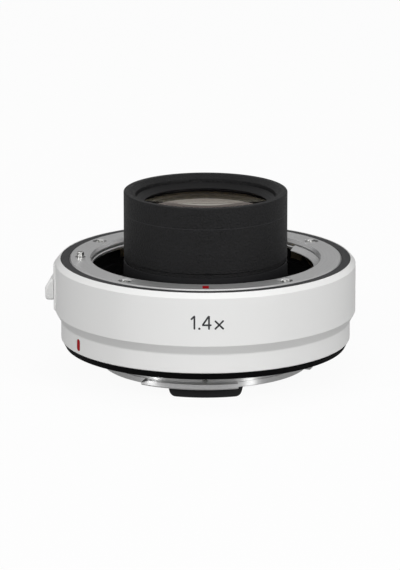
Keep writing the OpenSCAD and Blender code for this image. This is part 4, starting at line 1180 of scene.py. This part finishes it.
class CONVERTER_OT_inner_parts(bpy.types.Operator):
    """Gives every CAD node that stays in view the finish of its material slot"""

    bl_idname = "converter.inner_parts"
    bl_label = "Inner parts"

    def execute(self, context):
        slots = {part["node"]: part["material_slot"] for part in frame["record"]["subparts"]}
        for name, node in frame["nodes"].items():
            if node.hide_render:
                continue
            node.data.materials.clear()
            node.data.materials.append(finish_of(slots[name]))
        return {"FINISHED"}


class CONVERTER_OT_stage(bpy.types.Operator):
    """Sets up the paper floor, the soft studio light and the camera"""

    bl_idname = "converter.stage"
    bl_label = "Stage"

    def seen(self, tree):
        """1 where the camera, a gloss or a glass looks at the surface, and 0 for the light it gives."""
        path = add(tree, "ShaderNodeLightPath").outputs
        some = add(tree, "ShaderNodeMath", {"operation": "MAXIMUM"}, {
            0: path["Is Camera Ray"], 1: path["Is Glossy Ray"]})
        return add(tree, "ShaderNodeMath", {"operation": "MAXIMUM"}, {
            0: some.outputs["Value"], 1: path["Is Transmission Ray"]}).outputs["Value"]

    def sheet(self, name, corners):
        """One flat face as an object."""
        bm = bmesh.new()
        bm.faces.new([bm.verts.new(c) for c in corners])
        return piece(name, bm)

    def floor(self):
        """Sheet of paper that the part stands on."""
        half = 3000
        low = -8.12
        floor = self.sheet("paper_floor", (
            (-half, -half, low), (half, -half, low), (half, half, low), (-half, half, low)))
        made, tree, place = blank("matt_paper")
        # Matt paper: white, with a fibre of half a millimetre that hardly shows
        fibre = add(tree, "ShaderNodeTexNoise", {}, {"Vector": place, "Scale": per_mm(0.5), "Detail": 2.0})
        shade = add(tree, "ShaderNodeMix", {"data_type": "RGBA"}, {
            0: fibre.outputs["Fac"], 6: tint("paper"), 7: (*hex_linear("#F7F7F7"), 1.0)})
        seen = self.seen(tree)
        # Metal low on the part mirrors less of the glow and more of the table, with the shadow on it
        gloss = add(tree, "ShaderNodeLightPath").outputs["Is Glossy Ray"]
        cover = add(tree, "ShaderNodeMapRange", {}, {"Value": gloss, "To Min": 1.0, "To Max": 0.45})
        cover = add(tree, "ShaderNodeMath", {"operation": "MULTIPLY"}, {0: seen, 1: cover.outputs["Result"]})
        share = add(tree, "ShaderNodeMapRange", {}, {"Value": gloss, "To Min": 0.94, "To Max": 0.2})
        share = add(tree, "ShaderNodeMath", {"operation": "MULTIPLY"}, {0: seen, 1: share.outputs["Result"]})
        tone = add(tree, "ShaderNodeMix", {"data_type": "RGBA"}, {
            0: cover.outputs["Value"], 6: tint("table"), 7: shade.outputs[2]})
        paper = add(tree, "ShaderNodeBsdfDiffuse", {}, {"Color": tone.outputs[2]})
        glow = add(tree, "ShaderNodeEmission", {}, {"Color": (1, 1, 1, 1), "Strength": 1.0})
        both = add(tree, "ShaderNodeMixShader", {}, {
            0: share.outputs["Value"], 1: paper.outputs["BSDF"], 2: glow.outputs["Emission"]})
        add(tree, "ShaderNodeOutputMaterial", {}, {"Surface": both.outputs["Shader"]})
        floor.data.materials.append(made)

    def card(self, name, tone, low, high, glow):
        """A card that stands out of view behind the part, for its plated faces and its glass to reflect."""
        half = 1100
        back = 1350
        card = self.sheet(name, (
            (-half, back, low), (half, back, low), (half, back, high), (-half, back, high)))
        made, tree, place = blank(f"{name}_matt_board")
        # Matt board: even, with a soft mottle a few centimetres wide, and a faint glow of its own that is
        # painted light, making it brighter in the plated faces and the glass
        card.data.materials.append(coat(made, mottled(tree, place, tone, width=30.0, amount=0.03), {
            "Roughness": 0.9, "Specular IOR Level": 0.1, "Emission Strength": glow}))

    def lamp(self, name, place, size, power):
        """A soft rectangle of light, aimed at the middle of the part."""
        aim = (0, 0, 0.01)
        light = bpy.data.lights.new(name, "AREA")
        light.shape = "RECTANGLE"
        light.size, light.size_y = size
        light.energy = power
        obj = stand(name, light)
        obj.location = place
        obj.rotation_euler = (Vector(aim) - Vector(place)).to_track_quat("-Z", "Y").to_euler()

    def world(self):
        """Even light from all round, dimmer where a gloss looks at it."""
        world = bpy.data.worlds.new("studio")
        world.use_nodes = True
        tree = world.node_tree
        tree.nodes.clear()
        gloss = add(tree, "ShaderNodeLightPath").outputs["Is Glossy Ray"]
        clear = add(tree, "ShaderNodeMapRange", {}, {"Value": gloss, "To Min": 1.0, "To Max": 0.65})
        level = add(tree, "ShaderNodeMapRange", {}, {
            "Value": self.seen(tree), "To Min": 0.33, "To Max": clear.outputs["Result"]})
        air = add(tree, "ShaderNodeBackground", {}, {
            "Color": (1, 1, 1, 1), "Strength": level.outputs["Result"]})
        add(tree, "ShaderNodeOutputWorld", {}, {"Surface": air.outputs["Background"]})
        bpy.context.scene.world = world

    def camera(self):
        """Camera at the viewing angle: 14.16 degrees above the horizon, about a metre away."""
        rise = math.radians(14.162)
        distance = 1017.38
        target = Vector((-1.307, 0, 13.277)) * MM
        back = Vector((0, -math.cos(rise), math.sin(rise)))
        lens = bpy.data.cameras.new("camera")
        lens.lens = 270.48
        lens.sensor_width = 36.0
        lens.clip_start = 0.05
        obj = stand("camera", lens)
        obj.location = target + back * distance * MM
        obj.rotation_euler = (-back).to_track_quat("-Z", "Y").to_euler()
        bpy.context.scene.camera = obj

    def execute(self, context):
        self.floor()
        self.world()
        self.card("grey_card", "shade", 0, 240, 0.02)
        self.card("pale_card", "card", 240, 800, 0.15)
        self.lamp("top_softbox", (0.05, -0.15, 1.2), (0.9, 0.9), 1.7)
        self.lamp("front_softbox", (0.05, -1.2, 0.68), (2.4, 0.6), 10.9)
        self.lamp("left_strip", (-0.95, -0.6, 0.24), (0.14, 0.46), 3.6)
        self.lamp("right_strip", (0.86, -0.72, 0.24), (0.14, 0.46), 4.2)
        self.camera()
        bpy.context.scene.view_settings.view_transform = "Standard"
        return {"FINISHED"}


PIECES = (
    CONVERTER_OT_white_shell, CONVERTER_OT_trim_ring, CONVERTER_OT_lens_mount, CONVERTER_OT_lens_tube,
    CONVERTER_OT_glass, CONVERTER_OT_throat_floor, CONVERTER_OT_camera_mount, CONVERTER_OT_release,
    CONVERTER_OT_fasteners, CONVERTER_OT_contacts, CONVERTER_OT_figure, CONVERTER_OT_inner_parts,
    CONVERTER_OT_stage,
)


class CONVERTER_PT_panel(bpy.types.Panel):
    """Lists the pieces, sizes and colours"""

    bl_label = "Teleconverter"
    bl_idname = "CONVERTER_PT_panel"
    bl_space_type = "VIEW_3D"
    bl_region_type = "UI"
    bl_category = "Converter"

    def draw(self, context):
        for kind in PIECES:
            self.layout.operator(kind.bl_idname)
        for group in (context.scene.converter_sizes, context.scene.converter_colours):
            box = self.layout.box()
            for name in group.__annotations__:
                box.prop(group, name)


CLASSES = (ConverterSizes, ConverterColours, *PIECES, CONVERTER_PT_panel)


def register():
    for kind in CLASSES:
        bpy.utils.register_class(kind)
    bpy.types.Scene.converter_sizes = bpy.props.PointerProperty(type=ConverterSizes)
    bpy.types.Scene.converter_colours = bpy.props.PointerProperty(type=ConverterColours)


def unregister():
    del bpy.types.Scene.converter_colours
    del bpy.types.Scene.converter_sizes
    for kind in reversed(CLASSES):
        bpy.utils.unregister_class(kind)


def main():
    register()
    bpy.ops.converter.white_shell()
    bpy.ops.converter.trim_ring()
    bpy.ops.converter.lens_mount()
    bpy.ops.converter.lens_tube()
    bpy.ops.converter.glass()
    bpy.ops.converter.throat_floor()
    bpy.ops.converter.camera_mount()
    bpy.ops.converter.release()
    bpy.ops.converter.fasteners()
    bpy.ops.converter.contacts()
    bpy.ops.converter.figure()
    bpy.ops.converter.inner_parts()
    bpy.ops.converter.stage()


if __name__ == "__main__":
    main()
